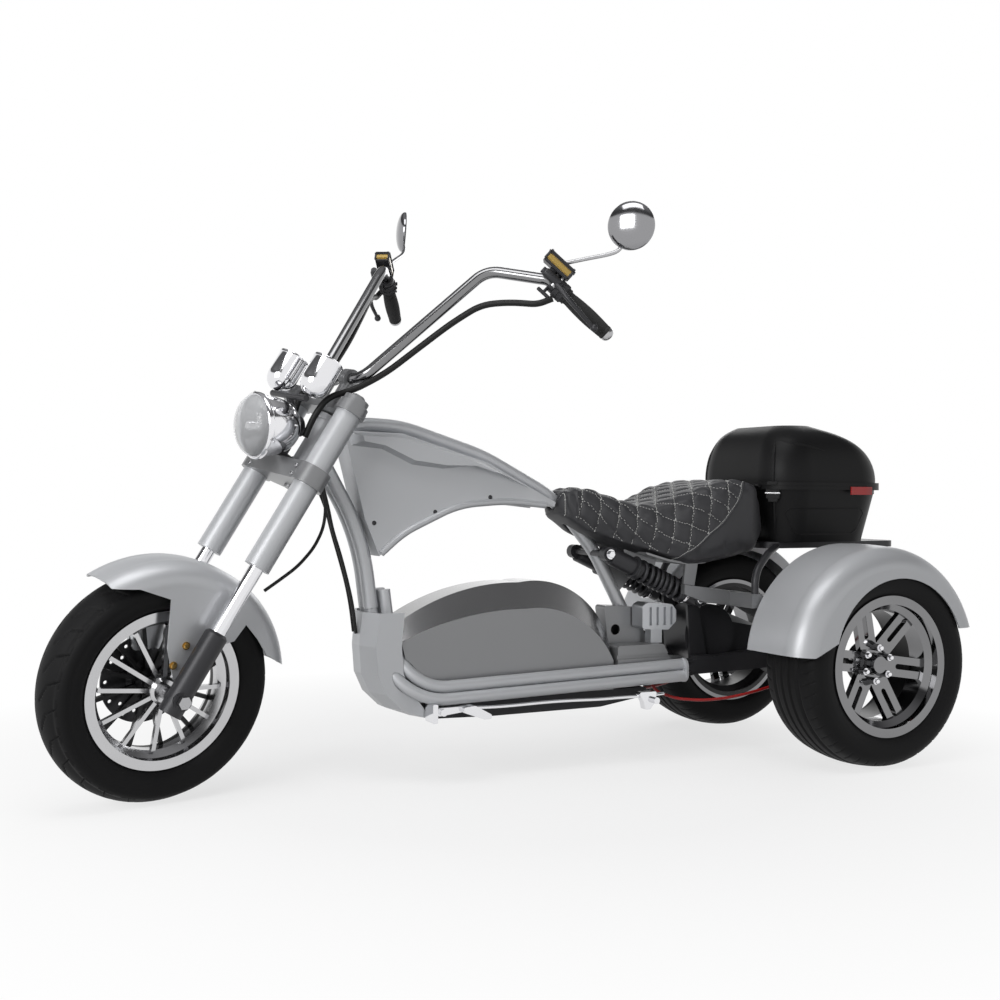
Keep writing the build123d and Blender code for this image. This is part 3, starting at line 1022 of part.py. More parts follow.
def make_rear_body():
    """Rear fenders, rack with its two arms, and the tail lamp under the rack."""
    fender = rear_fender()
    add("rear_fender_left", fender)
    add("rear_fender_right", mirror(fender, about=Plane.XZ))
    long = RACK_FRONT - RACK_TAIL
    middle = (RACK_FRONT + RACK_TAIL) / 2
    low = RACK_TOP - RACK_T
    plate = Pos(middle, 0, low) * extrude(RectangleRounded(long, 2 * RACK_HALF, 38), RACK_T)
    for y in (-RACK_HOLE_SPACING / 2, RACK_HOLE_SPACING / 2):
        plate -= Pos(RACK_HOLE_X, y, low) * extrude(Circle(RACK_HOLE_R), RACK_T)
    arm = bent_tube(RACK_ARM, 9, [50, 60])
    rack = plate + arm + mirror(arm, about=Plane.XZ)
    add("luggage_rack", rack)
    stalk = Pos(-205, 0, low - 15.3) * Box(16, 60, 30)
    lens = side_slab(FilletPolyline((-246, 452), (-196, 452), (-196, 484), (-238, 484), radius=6, close=True),
                     -62, 62)
    add("tail_lamp", stalk + lens)


def case_section(front, rear, half, z, corner):
    """Rounded rectangle of the case at one height."""
    centre = (front + rear) / 2
    return Plane(origin=(centre, 0, z)) * RectangleRounded(front - rear, 2 * half, corner)


def make_case():
    """Top case: a tapered hollow tub with a lip, and a domed lid hinged along the front."""
    floor = RACK_TOP + PART_GAP
    low = CASE_LIP_Z - CASE_LIP_T
    taper = CASE_TAPER
    tub = loft([case_section(CASE_FRONT - taper, CASE_REAR + taper, CASE_HALF - taper, floor, CASE_CORNER_R - 30),
                case_section(CASE_FRONT, CASE_REAR, CASE_HALF, CASE_LIP_Z, CASE_CORNER_R)])
    inner_taper = taper * 0.92
    wall = CASE_WALL
    inside = loft([case_section(CASE_FRONT - inner_taper - wall, CASE_REAR + inner_taper + wall,
                                CASE_HALF - inner_taper - wall, floor + wall, CASE_CORNER_R - 34),
                   case_section(CASE_FRONT - wall, CASE_REAR + wall, CASE_HALF - wall, CASE_LIP_Z + 1,
                                CASE_CORNER_R - wall)])
    out = CASE_LIP_OUT
    lip_plane = Pos(0, 0, low) * case_section(CASE_FRONT + out, CASE_REAR - out, CASE_HALF + out, 0,
                                              CASE_CORNER_R + out)
    tub = (tub + extrude(lip_plane, CASE_LIP_T)) - inside
    lid_low = CASE_LIP_Z + CASE_SHUT_GAP
    lid_lip = extrude(Pos(0, 0, lid_low) * case_section(CASE_FRONT + out, CASE_REAR - out, CASE_HALF + out, 0,
                                                        CASE_CORNER_R + out), CASE_LIP_T)
    dome = loft([case_section(CASE_FRONT - f, CASE_REAR + r, CASE_HALF - h, z, c)
                 for f, r, h, z, c in LID_SECTIONS])
    hollow = loft([case_section(CASE_FRONT - f - wall, CASE_REAR + r + wall, CASE_HALF - h - wall,
                                z - (wall if k == len(LID_SECTIONS) - 1 else 0), c - wall * 0.8)
                   for k, (f, r, h, z, c) in enumerate(LID_SECTIONS)])
    ring = wall + LID_RING_STEP
    cut = extrude(Pos(0, 0, lid_low - 1) * case_section(CASE_FRONT - ring, CASE_REAR + ring, CASE_HALF - ring, 0,
                                                    CASE_CORNER_R - ring), CASE_LIP_T + 4)
    lid = (dome + lid_lip) - hollow - cut
    hinge_x = CASE_FRONT + out + 4
    hinge_z = CASE_LIP_Z + CASE_SHUT_GAP / 2
    base_knuckles = []
    lid_knuckles = []
    for y_mid in (-HINGE_SIDE, HINGE_SIDE):
        for shift, keep in ((-17, base_knuckles), (0, lid_knuckles), (17, base_knuckles)):
            keep.append(rod((hinge_x, y_mid + shift - 8, hinge_z), (hinge_x, y_mid + shift + 8, hinge_z), 4.5))
    for knuckle in base_knuckles:
        tub += knuckle
    for knuckle in lid_knuckles:
        lid += knuckle
    clear_up = Pos(hinge_x, 0, hinge_z)
    for y_mid in (-HINGE_SIDE, HINGE_SIDE):
        tub -= clear_up * Pos(0, y_mid, 0) * Rot(90, 0, 0) * Cylinder(5.5, 17)
        for shift in (-17, 17):
            lid -= clear_up * Pos(0, y_mid + shift, 0) * Rot(90, 0, 0) * Cylinder(5.5, 17)
    add("case_base", max(tub.solids(), key=lambda s: s.volume))
    add("case_lid", max(lid.solids(), key=lambda s: s.volume))
    flash = extrude(Pos(0, 0, low - 12) * case_section(CASE_FRONT + out + 3, CASE_REAR - out - 3,
                                                       CASE_HALF + out + 3, 0, CASE_CORNER_R + out + 3), 20)
    flash -= extrude(Pos(0, 0, low - 14) * case_section(CASE_FRONT + out + 0.3, CASE_REAR - out - 0.3,
                                                        CASE_HALF + out + 0.3, 0, CASE_CORNER_R + out), 24)
    keep = Pos(*REFLECTOR_AT, low) * Box(*REFLECTOR_SIZE, 60)
    mark = flash & keep
    add("case_reflectors", *both_sides(mark))


def make_controls():
    """Foot brake pedal and its cable to the rear brake, with the held hoses along the frame."""
    plate = side_slab(FilletPolyline((1046, 142), (1058, 142), (1058, 184), (1046, 184), radius=3, close=True),
                      84, 128)
    pivot = rod((1052, 112, 166), (1034, 112, 166), 6) + rod((1034, 100, 166), (1034, 134, 166), 8)
    arm = side_slab(FilletPolyline((1045, 157), (1045, 175), (980, 176), (980, 164), radius=4, close=True),
                    118, 126)
    toe = side_slab(FilletPolyline((991, 175), (962, 178), (922, 156), (922, 146), (940, 146), (987, 163),
                                   radius=3.5, close=True), 112, 142)
    rail_space = bent_tube(RAIL_OUTER_LINE, RAIL_TUBE_R + PART_GAP, RAIL_OUTER_BENDS)
    cable = cord("brake rod", BRAKE_ROD_ROUTE, 4)
    cable_space = bent_tube(BRAKE_ROD_ROUTE, 4 + PART_GAP, easy_bends(BRAKE_ROD_ROUTE))
    pedal = (plate + pivot + arm + toe) - rail_space
    block = side_slab(FilletPolyline((520, 176), (470, 176), (474, 150), (488, 134), (502, 134), (506, 152),
                                     radius=4, close=True), 96, 116)
    brass = rod((478, 110, 156), (478, 130, 156), 8)
    stay = max((block + brass - cable_space).solids(), key=lambda s: s.volume)
    add("brake_linkage", max(pedal.solids(), key=lambda s: s.volume), cable, stay)
    hoses = [cord("rear brake hose", points, HOSE_R) for points in REAR_HOSE_ROUTES]
    add("rear_brake_hoses", *hoses)
    cables = [cord("frame cable", points, HOSE_R) for points in FRAME_CABLE_ROUTES]
    add("frame_cables", *cables)


make_wheels()
make_front()
make_frame()
make_tank()
make_battery()
make_seat()
make_rear()
make_rear_body()
make_case()
make_controls()

os.makedirs("parts", exist_ok=True)
for node, solids in nodes.items():
    piece = solids[0] if len(solids) == 1 else Compound(children=solids)
    piece = Pos(-FILE_ORIGIN[0], -FILE_ORIGIN[1], 0) * piece
    export_step(piece, f"parts/{node}.step")
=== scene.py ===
"""Looks of the motorized trike: finishes, dressed pieces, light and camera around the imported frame."""

from __future__ import annotations

import bisect
import logging
import math
from dataclasses import dataclass, field
from enum import Enum
from typing import Callable, Sequence

import bmesh
import bpy
from mathutils import Matrix, Vector
from mathutils.bvhtree import BVHTree

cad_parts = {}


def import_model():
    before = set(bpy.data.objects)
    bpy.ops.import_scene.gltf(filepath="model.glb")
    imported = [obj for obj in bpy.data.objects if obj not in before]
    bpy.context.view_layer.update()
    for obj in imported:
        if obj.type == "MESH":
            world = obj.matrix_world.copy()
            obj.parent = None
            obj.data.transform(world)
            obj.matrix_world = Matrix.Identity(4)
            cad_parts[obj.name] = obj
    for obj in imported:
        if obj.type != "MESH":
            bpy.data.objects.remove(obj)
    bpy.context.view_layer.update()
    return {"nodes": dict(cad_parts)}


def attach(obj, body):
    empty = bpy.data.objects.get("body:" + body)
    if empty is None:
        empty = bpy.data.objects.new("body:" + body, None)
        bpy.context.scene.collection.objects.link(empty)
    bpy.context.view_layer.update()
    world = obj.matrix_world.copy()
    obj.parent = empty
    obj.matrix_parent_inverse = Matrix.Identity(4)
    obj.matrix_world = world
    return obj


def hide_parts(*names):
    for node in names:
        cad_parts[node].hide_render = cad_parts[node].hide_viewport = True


LOG = logging.getLogger("trike")
Point = tuple[float, float, float]
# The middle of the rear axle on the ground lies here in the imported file, in metres
ZERO = Vector((-0.8035, 0.038, 0.0))
# The steering axis and how far the bars stand turned to the left
RAKE = math.radians(31.5)
TURN = math.radians(15.0)
UP_LEG = Vector((-math.sin(RAKE), 0.0, math.cos(RAKE)))
AHEAD = Vector((math.cos(RAKE), 0.0, math.sin(RAKE)))
AXLE_FRONT = Vector((1.636, 0.0, 0.246))
STEER_FOOT = AXLE_FRONT - AHEAD * 0.030


def at(x: float, y: float, z: float) -> Vector:
    """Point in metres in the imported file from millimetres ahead, left and up of the rear axle."""
    return ZERO + Vector((x, y, z)) / 1000.0


def steered(x: float, y: float, z: float) -> Vector:
    """Point of the front end, given as if the bars stood straight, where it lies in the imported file."""
    turn = Matrix.Rotation(TURN, 3, UP_LEG)
    return ZERO + STEER_FOOT + turn @ (Vector((x, y, z)) / 1000.0 - STEER_FOOT)


def fork_point(up: float, ahead: float = 0.0, side: float = 0.0) -> Point:
    """Straight-ahead point in millimetres, up the fork from the axle, ahead of the legs and to the side."""
    spot = AXLE_FRONT * 1000.0 + UP_LEG * up + AHEAD * ahead
    return (spot.x, spot.y + side, spot.z)


class Rides(Enum):
    """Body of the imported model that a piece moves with."""

    CHASSIS = "chassis"
    STEERING = "steering"
    FRONT_WHEEL = "front_wheel"
    REAR_LEFT = "rear_wheel_left"
    REAR_RIGHT = "rear_wheel_right"
    LID = "case_lid"


# Finishes


def link_noise(nodes: bpy.types.Nodes, links: bpy.types.NodeLinks, coords: bpy.types.NodeSocket,
               scale: float, detail: float = 3.0) -> bpy.types.NodeSocket:
    """Add a noise texture on object coordinates.

    Args:
        nodes: Nodes of the material.
        links: Links of the material.
        coords: Object coordinates.
        scale: Cells per metre.
        detail: Octaves.

    Returns:
        The noise's value socket.
    """
    noise = nodes.new("ShaderNodeTexNoise")
    noise.inputs["Scale"].default_value = scale
    noise.inputs["Detail"].default_value = detail
    links.new(coords, noise.inputs["Vector"])
    return noise.outputs["Fac"]


@dataclass(frozen=True)
class Finish:
    """A surface finish with the small variation of the real one.

    Attributes:
        name: Name of the material.
        color: Linear base colour.
        metallic: Share of metal.
        roughness: Middle roughness.
        coat: Weight of the clear coat.
        grain: Cells per metre of the fine bump.
        bump: Height of the fine bump in millimetres.
        mottle: Share by which the colour varies.
        spread: How far the roughness varies.
        flake: Strength of the sparkle of a metallic paint.
        sheen: Weight of the sheen.
        specular: Level of the plain reflection.
    """

    name: str
    color: Point
    metallic: float = 0.0
    roughness: float = 0.5
    coat: float = 0.0
    grain: float = 900.0
    bump: float = 0.0
    mottle: float = 0.06
    spread: float = 0.06
    flake: float = 0.0
    sheen: float = 0.0
    specular: float = 0.5

    def material(self) -> bpy.types.Material:
        """Return the material, made on first use."""
        found = bpy.data.materials.get(self.name)
        if found:
            return found
        made = bpy.data.materials.new(self.name)
        made.use_nodes = True
        tree = made.node_tree
        nodes, links = tree.nodes, tree.links
        shader = nodes["Principled BSDF"]
        shader.inputs["Metallic"].default_value = self.metallic
        shader.inputs["Coat Weight"].default_value = self.coat
        shader.inputs["Coat Roughness"].default_value = 0.08
        shader.inputs["Sheen Weight"].default_value = self.sheen
        shader.inputs["Specular IOR Level"].default_value = self.specular
        coords = nodes.new("ShaderNodeTexCoord").outputs["Object"]
        broad = link_noise(nodes, links, coords, 7.0, 4.0)
        self.paint_color(nodes, links, coords, broad, shader)
        rough = nodes.new("ShaderNodeMapRange")
        rough.inputs["To Min"].default_value = max(0.02, self.roughness - self.spread)
        rough.inputs["To Max"].default_value = min(1.0, self.roughness + self.spread)
        links.new(broad, rough.inputs["Value"])
        links.new(rough.outputs["Result"], shader.inputs["Roughness"])
        if self.bump:
            self.add_bump(nodes, links, link_noise(nodes, links, coords, self.grain), shader)
        return made

    def paint_color(self, nodes: bpy.types.Nodes, links: bpy.types.NodeLinks, coords: bpy.types.NodeSocket,
                    broad: bpy.types.NodeSocket, shader: bpy.types.Node) -> None:
        """Vary the base colour slowly, with the sparkle of a metallic paint where there is one."""
        dark = tuple(c * (1.0 - self.mottle) for c in self.color)
        light = tuple(min(1.0, c * (1.0 + self.mottle)) for c in self.color)
        ramp = nodes.new("ShaderNodeMix")
        ramp.data_type = "RGBA"
        ramp.inputs["A"].default_value = (*dark, 1.0)
        ramp.inputs["B"].default_value = (*light, 1.0)
        links.new(broad, ramp.inputs["Factor"])
        color = ramp.outputs["Result"]
        if self.flake:
            cells = nodes.new("ShaderNodeTexVoronoi")
            cells.inputs["Scale"].default_value = 2600.0
            links.new(coords, cells.inputs["Vector"])
            spark = nodes.new("ShaderNodeMapRange")
            spark.inputs["From Max"].default_value = 0.9
            spark.inputs["To Min"].default_value = 1.0 + self.flake
            spark.inputs["To Max"].default_value = 1.0 - self.flake
            links.new(cells.outputs["Distance"], spark.inputs["Value"])
            scale = nodes.new("ShaderNodeVectorMath")
            scale.operation = "SCALE"
            links.new(color, scale.inputs[0])
            links.new(spark.outputs["Result"], scale.inputs["Scale"])
            color = scale.outputs["Vector"]
        links.new(color, shader.inputs["Base Color"])

    def add_bump(self, nodes: bpy.types.Nodes, links: bpy.types.NodeLinks, height: bpy.types.NodeSocket,
                 shader: bpy.types.Node) -> None:
        """Give the shader the fine bump of this finish."""
        bump = nodes.new("ShaderNodeBump")
        bump.inputs["Strength"].default_value = 0.6
        bump.inputs["Distance"].default_value = self.bump / 1000.0
        links.new(height, bump.inputs["Height"])
        links.new(bump.outputs["Normal"], shader.inputs["Normal"])


SILVER_PAINT = Finish("silver_paint", (0.235, 0.238, 0.245), 0.70, 0.34, 0.45, mottle=0.02, spread=0.02,
                      flake=0.10)
SILVER_SATIN = Finish("silver_satin", (0.27, 0.273, 0.28), 0.60, 0.40, 0.20, mottle=0.02, flake=0.08)
GLOSS_SILVER = Finish("gloss_silver", (0.30, 0.30, 0.305), 0.80, 0.24, 0.8, mottle=0.03, spread=0.02,
                      flake=0.06)
CAST_ALLOY = Finish("cast_alloy", (0.30, 0.30, 0.31), 0.9, 0.38, grain=1400.0, bump=0.05)
POLISHED_ALLOY = Finish("polished_alloy", (0.56, 0.56, 0.57), 1.0, 0.16, spread=0.04, mottle=0.03)
CHROME = Finish("chrome", (0.66, 0.66, 0.68), 1.0, 0.06, mottle=0.02, spread=0.02)
STEEL = Finish("brushed_steel", (0.46, 0.46, 0.47), 1.0, 0.28, grain=1800.0, bump=0.02)
BRASS = Finish("brass", (0.55, 0.36, 0.12), 1.0, 0.28)
BLACK_PAINT = Finish("black_paint", (0.007, 0.007, 0.008), 0.1, 0.38, 0.2, grain=1600.0, bump=0.02, specular=0.3)
BLACK_PLASTIC = Finish("black_plastic", (0.008, 0.008, 0.0085), 0.0, 0.48, grain=1900.0, bump=0.05, specular=0.28)
CASE_PLASTIC = Finish("case_plastic", (0.009, 0.009, 0.0095), 0.0, 0.42, grain=1500.0, bump=0.03, specular=0.16)
TYRE_RUBBER = Finish("tyre_rubber", (0.012, 0.012, 0.0125), 0.0, 0.60, grain=700.0, bump=0.08, mottle=0.14, specular=0.14)
GRIP_RUBBER = Finish("grip_rubber", (0.008, 0.008, 0.008), 0.0, 0.62, grain=900.0, bump=0.10, specular=0.2)
HOSE_RUBBER = Finish("hose_rubber", (0.007, 0.007, 0.007), 0.0, 0.45, grain=1200.0, bump=0.04, specular=0.3)
RED_RUBBER = Finish("red_rubber", (0.42, 0.010, 0.010), 0.0, 0.40, grain=1200.0, bump=0.03)
RED_LENS = Finish("red_lens", (0.62, 0.010, 0.014), 0.0, 0.16, 0.6, grain=320.0, bump=0.25)
LEATHER = Finish("seat_leather", (0.004, 0.004, 0.0045), 0.0, 0.44, grain=800.0, bump=0.12, specular=0.16)
THREAD = Finish("white_thread", (0.62, 0.62, 0.60), 0.0, 0.72, grain=2400.0, bump=0.05)
WINDOW = Finish("fluid_window", (0.55, 0.36, 0.06), 0.0, 0.22, 0.4)
DARK_STEEL = Finish("dark_steel", (0.040, 0.040, 0.042), 0.85, 0.36, grain=2200.0, bump=0.02)
CAP_GREY = Finish("cap_grey", (0.10, 0.098, 0.098), 0.2, 0.42, grain=1400.0, bump=0.03)
DIAL_BLACK = Finish("dial_black", (0.008, 0.008, 0.009), 0.0, 0.35, 0.5)
MIRROR_GLASS = Finish("mirror_glass", (0.50, 0.50, 0.51), 0.9, 0.12, mottle=0.02, spread=0.02)
MIRROR_BACK = Finish("mirror_back", (0.30, 0.30, 0.31), 1.0, 0.12)
WHEEL_CHROME = Finish("wheel_chrome", (0.22, 0.22, 0.225), 1.0, 0.09, mottle=0.03, spread=0.03)
# Dark reflector colour: painted shade inside the headlamp bowl.
SHADED_LAMP_CUP = Finish("lamp_reflector", (0.09, 0.09, 0.095), 1.0, 0.10, spread=0.03)
BAR_CHROME = Finish("bar_chrome", (0.24, 0.24, 0.245), 1.0, 0.16, mottle=0.02, spread=0.03)
WELT = Finish("welt_leather", (0.030, 0.030, 0.031), 0.0, 0.42, grain=900.0, bump=0.08)


def dress(node: bpy.types.Object, finish: Finish | bpy.types.Material) -> None:
    """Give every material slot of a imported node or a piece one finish."""
    material = finish.material() if isinstance(finish, Finish) else finish
    if not node.material_slots:
        node.data.materials.append(material)
    for slot in node.material_slots:
        slot.material = material


@dataclass
class Dresser:
    """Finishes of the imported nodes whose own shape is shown."""

    finishes: dict[str, Finish] = field(default_factory=lambda: {
        "backbone_tube": SILVER_PAINT, "downtube": SILVER_PAINT, "head_tube": SILVER_PAINT,
        "side_rail_left": SILVER_PAINT, "side_rail_right": SILVER_PAINT, "rear_crossmember": SILVER_SATIN,
        "tank_cover": SILVER_PAINT, "battery_panels": SILVER_SATIN, "battery_housing": GLOSS_SILVER,
        "front_shield": SILVER_PAINT, "front_fender": SILVER_PAINT, "rear_fender_left": SILVER_PAINT,
        "rear_fender_right": SILVER_PAINT, "cross_beam": SILVER_SATIN, "seat_mount": SILVER_SATIN,
        "luggage_rack": BLACK_PAINT, "fork_sleeves": SILVER_PAINT, "lower_clamp": SILVER_SATIN,
        "top_clamp": SILVER_SATIN, "drive_unit": BLACK_PAINT, "swing_arms": BLACK_PAINT,
        "shock_bodies": BLACK_PAINT, "fork_sliders": BLACK_PAINT, "lamp_bracket": BLACK_PAINT,
        "case_lid": CASE_PLASTIC, "case_base": CASE_PLASTIC, "belly_pan": BLACK_PLASTIC,
        "bar_controls": BLACK_PLASTIC, "handlebar": BAR_CHROME, "fork_stanchions": CHROME,
        "rear_rim_left": POLISHED_ALLOY, "rear_rim_right": POLISHED_ALLOY, "headlamp_bowl": CHROME,
        "gauge_pods": CHROME, "mirrors": MIRROR_BACK, "front_rim": CAST_ALLOY, "rear_caliper": CAST_ALLOY,
        "front_caliper": CAST_ALLOY, "front_axle": STEEL, "front_disc": STEEL, "brake_linkage": CHROME,
        "shock_springs": BLACK_PAINT, "front_tyre": TYRE_RUBBER, "rear_tyre_left": TYRE_RUBBER,
        "rear_tyre_right": TYRE_RUBBER, "seat": LEATHER, "grips": GRIP_RUBBER,
        "rear_brake_hoses": RED_RUBBER, "bar_cables": HOSE_RUBBER, "front_brake_hose": HOSE_RUBBER,
        "frame_cables": HOSE_RUBBER, "tail_lamp": RED_LENS, "case_reflectors": RED_LENS,
        "headlamp_glass": CHROME})

    def apply(self, nodes: dict[str, bpy.types.Object]) -> None:
        """Dress the nodes.

        Args:
            nodes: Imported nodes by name.
        """
        for name, finish in self.finishes.items():
            if name in nodes:
                dress(nodes[name], finish)
        LOG.info("dressed %d packed nodes", len(self.finishes))


# Making meshes


def new_piece(name: str, verts: Sequence[Vector | Point], faces: Sequence[Sequence[int]],
              finish: Finish, smooth: bool = True) -> bpy.types.Object:
    """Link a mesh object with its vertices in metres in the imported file.

    Args:
        name: Name of the piece.
        verts: Vertices.
        faces: Vertex numbers of each face.
        finish: Finish of the whole piece.
        smooth: Whether flat shading is left where edges turn by less than 40 degrees only.

    Returns:
        The object.
    """
    mesh = bpy.data.meshes.new(name)
    mesh.from_pydata([tuple(v) for v in verts], [], [tuple(f) for f in faces])
    work = bmesh.new()
    work.from_mesh(mesh)
    bmesh.ops.recalc_face_normals(work, faces=work.faces)
    work.to_mesh(mesh)
    work.free()
    if smooth:
        mesh.shade_smooth()
        mesh.set_sharp_from_angle(angle=math.radians(40.0))
    mesh.materials.append(finish.material())
    made = bpy.data.objects.new(name, mesh)
    bpy.context.scene.collection.objects.link(made)
    return made


def joined(name: str, parts: Sequence[bpy.types.Object]) -> bpy.types.Object:
    """Join objects into one, keeping each part's finish.

    Args:
        name: Name of the joined piece.
        parts: Objects, which are used up.

    Returns:
        The joined object.
    """
    with bpy.context.temp_override(active_object=parts[0], selected_editable_objects=list(parts)):
        bpy.ops.object.join()
    parts[0].name = name
    parts[0].data.name = name
    return parts[0]


def across_axis(axis: Vector) -> tuple[Vector, Vector]:
    """Two directions square to an axis and to each other."""
    axis = axis.normalized()
    first = axis.cross(Vector((0.0, 0.0, 1.0)))
    if first.length < 0.1:
        first = axis.cross(Vector((1.0, 0.0, 0.0)))
    first.normalize()
    return first, axis.cross(first).normalized()


def turned(name: str, profile: Sequence[tuple[float, float]], centre: Vector, axis: Vector, finish: Finish,
           around: int = 64, closed: bool = False) -> bpy.types.Object:
    """Solid of revolution.

    Args:
        name: Name of the piece.
        profile: Radius and height along the axis in millimetres; the ends are closed unless the line is.
        centre: Zero of the heights.
        axis: Direction of the heights.
        finish: Finish.
        around: Steps around.
        closed: Whether the profile's last point joins its first.

    Returns:
        The object.
    """
    first, second = across_axis(axis)
    axis = axis.normalized()
    verts: list[Vector] = []
    rows: list[list[int]] = []
    for radius, height in profile:
        row = []
        steps = 1 if radius < 1e-6 else around
        for k in range(steps):
            angle = 2 * math.pi * k / around
            row.append(len(verts))
            verts.append(centre + (axis * height + (first * math.cos(angle) + second * math.sin(angle)) * radius)
                         / 1000.0)
        rows.append(row)
    faces: list[list[int]] = []
    pairs = list(zip(rows, rows[1:])) + ([(rows[-1], rows[0])] if closed else [])
    for low, high in pairs:
        for k in range(around):
            nxt = (k + 1) % around
            corner = [low[k % len(low)], low[nxt % len(low)], high[nxt % len(high)], high[k % len(high)]]
            faces.append(list(dict.fromkeys(corner)))
    if not closed:
        faces += [row for row in (rows[0], rows[-1]) if len(row) > 1]
    return new_piece(name, verts, [f for f in faces if len(f) > 2], finish)


def smooth_path(points: Sequence[Vector], step: float = 0.004) -> list[Vector]:
    """Evenly spaced points of the rounded line through the given ones."""
    line = [points[0] * 2 - points[1], *points, points[-1] * 2 - points[-2]]
    out: list[Vector] = []
    for a, b, c, d in zip(line, line[1:], line[2:], line[3:]):
        count = max(2, int((c - b).length / step))
        for k in range(count):
            t = k / count
            out.append(0.5 * ((2 * b) + (c - a) * t + (2 * a - 5 * b + 4 * c - d) * t ** 2
                              + (3 * b - a - 3 * c + d) * t ** 3))
    return [*out, points[-1]]


def tube(name: str, path: Sequence[Vector], radius: float, finish: Finish, sides: int = 16,
         shape: Callable[[float], float] | None = None, loop: bool = False) -> bpy.types.Object:
    """Round tube along a line.

    Args:
        name: Name of the piece.
        path: Points of the line in metres.
        radius: Radius in millimetres.
        finish: Finish.
        sides: Steps around.
        shape: Factor of the radius at each share of the length.
        loop: Whether the line joins its start.

    Returns:
        The object.
    """
    count = len(path)
    verts: list[Vector] = []
    side = across_axis(path[1] - path[0])[0]
    for k, point in enumerate(path):
        ahead = path[(k + 1) % count] if loop or k + 1 < count else point
        behind = path[k - 1] if loop or k else point
        along = (ahead - behind).normalized()
        side = (side - along * side.dot(along)).normalized()
        up = along.cross(side)
        r = radius / 1000.0 * (shape(k / max(1, count - 1)) if shape else 1.0)
        for n in range(sides):
            angle = 2 * math.pi * n / sides
            verts.append(point + (side * math.cos(angle) + up * math.sin(angle)) * r)
    faces = []
    for k in range(count if loop else count - 1):
        low, high = k * sides, (k + 1) % count * sides
        faces += [[low + n, low + (n + 1) % sides, high + (n + 1) % sides, high + n] for n in range(sides)]
    if not loop:
        faces += [list(range(sides)), list(range((count - 1) * sides, count * sides))]
    return new_piece(name, verts, faces, finish)


def slab(name: str, outline: Sequence[Vector], thick: Vector, finish: Finish, bevel: float = 0.0015,
         rounds: int = 2) -> bpy.types.Object:
    """Plate of an outline with rounded edges.

    Args:
        name: Name of the piece.
        outline: Corner points of one face in metres.
        thick: From that face to the other.
        finish: Finish.
        bevel: Radius of the edges in metres.
        rounds: Steps of the rounding.

    Returns:
        The object.
    """
    count = len(outline)
    verts = [*outline, *[p + thick for p in outline]]
    faces = [list(range(count)), list(range(count, 2 * count))]
    faces += [[k, (k + 1) % count, (k + 1) % count + count, k + count] for k in range(count)]
    made = new_piece(name, verts, faces, finish)
    if bevel:
        work = bmesh.new()
        work.from_mesh(made.data)
        sharp = [e for e in work.edges if e.is_manifold and e.calc_face_angle() > math.radians(25.0)]
        bmesh.ops.bevel(work, geom=sharp, offset=bevel, segments=rounds, affect="EDGES", clamp_overlap=True)
        work.to_mesh(made.data)
        work.free()
        made.data.shade_smooth()
        made.data.set_sharp_from_angle(angle=math.radians(40.0))
    return made


def applied(piece: bpy.types.Object) -> bpy.types.Object:
    """Fix a piece's modifiers into its mesh."""
    graph = bpy.context.evaluated_depsgraph_get()
    graph.update()
    mesh = bpy.data.meshes.new_from_object(piece.evaluated_get(graph))
    piece.modifiers.clear()
    piece.data = mesh
    return piece


# Repeats made with Geometry Nodes


class Head(Enum):
    """Heads of fasteners."""

    SOCKET = "socket"
    HEX = "hex"
    DOME = "dome"


def fastener(head: Head, radius: float, tall: float, finish: Finish) -> bpy.types.Object:
    """One fastener at the origin, its head up along Z, for a repeat.

    Args:
        head: Kind of head.
        radius: Radius of the head in millimetres.
        tall: Height of the head in millimetres.
        finish: Finish.

    Returns:
        The object, which isn't shown itself.
    """
    up = Vector((0, 0, 1))
    zero = Vector((0, 0, 0))
    if head is Head.SOCKET:
        hole = radius * 0.5
        made = turned("socket_head", [(radius * 0.9, -1.0), (radius, 0.4), (radius, tall - 0.7),
                                      (radius - 0.7, tall), (hole, tall), (hole, tall * 0.4), (0, tall * 0.35)],
                      zero, up, finish, 24)
    elif head is Head.HEX:
        washer = turned("washer", [(radius * 1.32, -1.0), (radius * 1.32, 1.2), (0, 1.2)], zero, up, finish, 28)
        nut = turned("hex_head", [(radius, 1.0), (radius, tall - 1.0), (radius - 1.2, tall), (0, tall)],
                     zero, up, finish, 6)
        made = joined("hex_head", [washer, nut])
    else:
        made = turned("dome_head", [(radius, -1.0), (radius, 0.3), (radius * 0.9, tall * 0.45),
                                    (radius * 0.6, tall * 0.85), (radius * 0.28, tall), (radius * 0.2, tall * 0.6),
                                    (0, tall * 0.6)], zero, up, finish, 24)
    made.hide_render = True
    return made


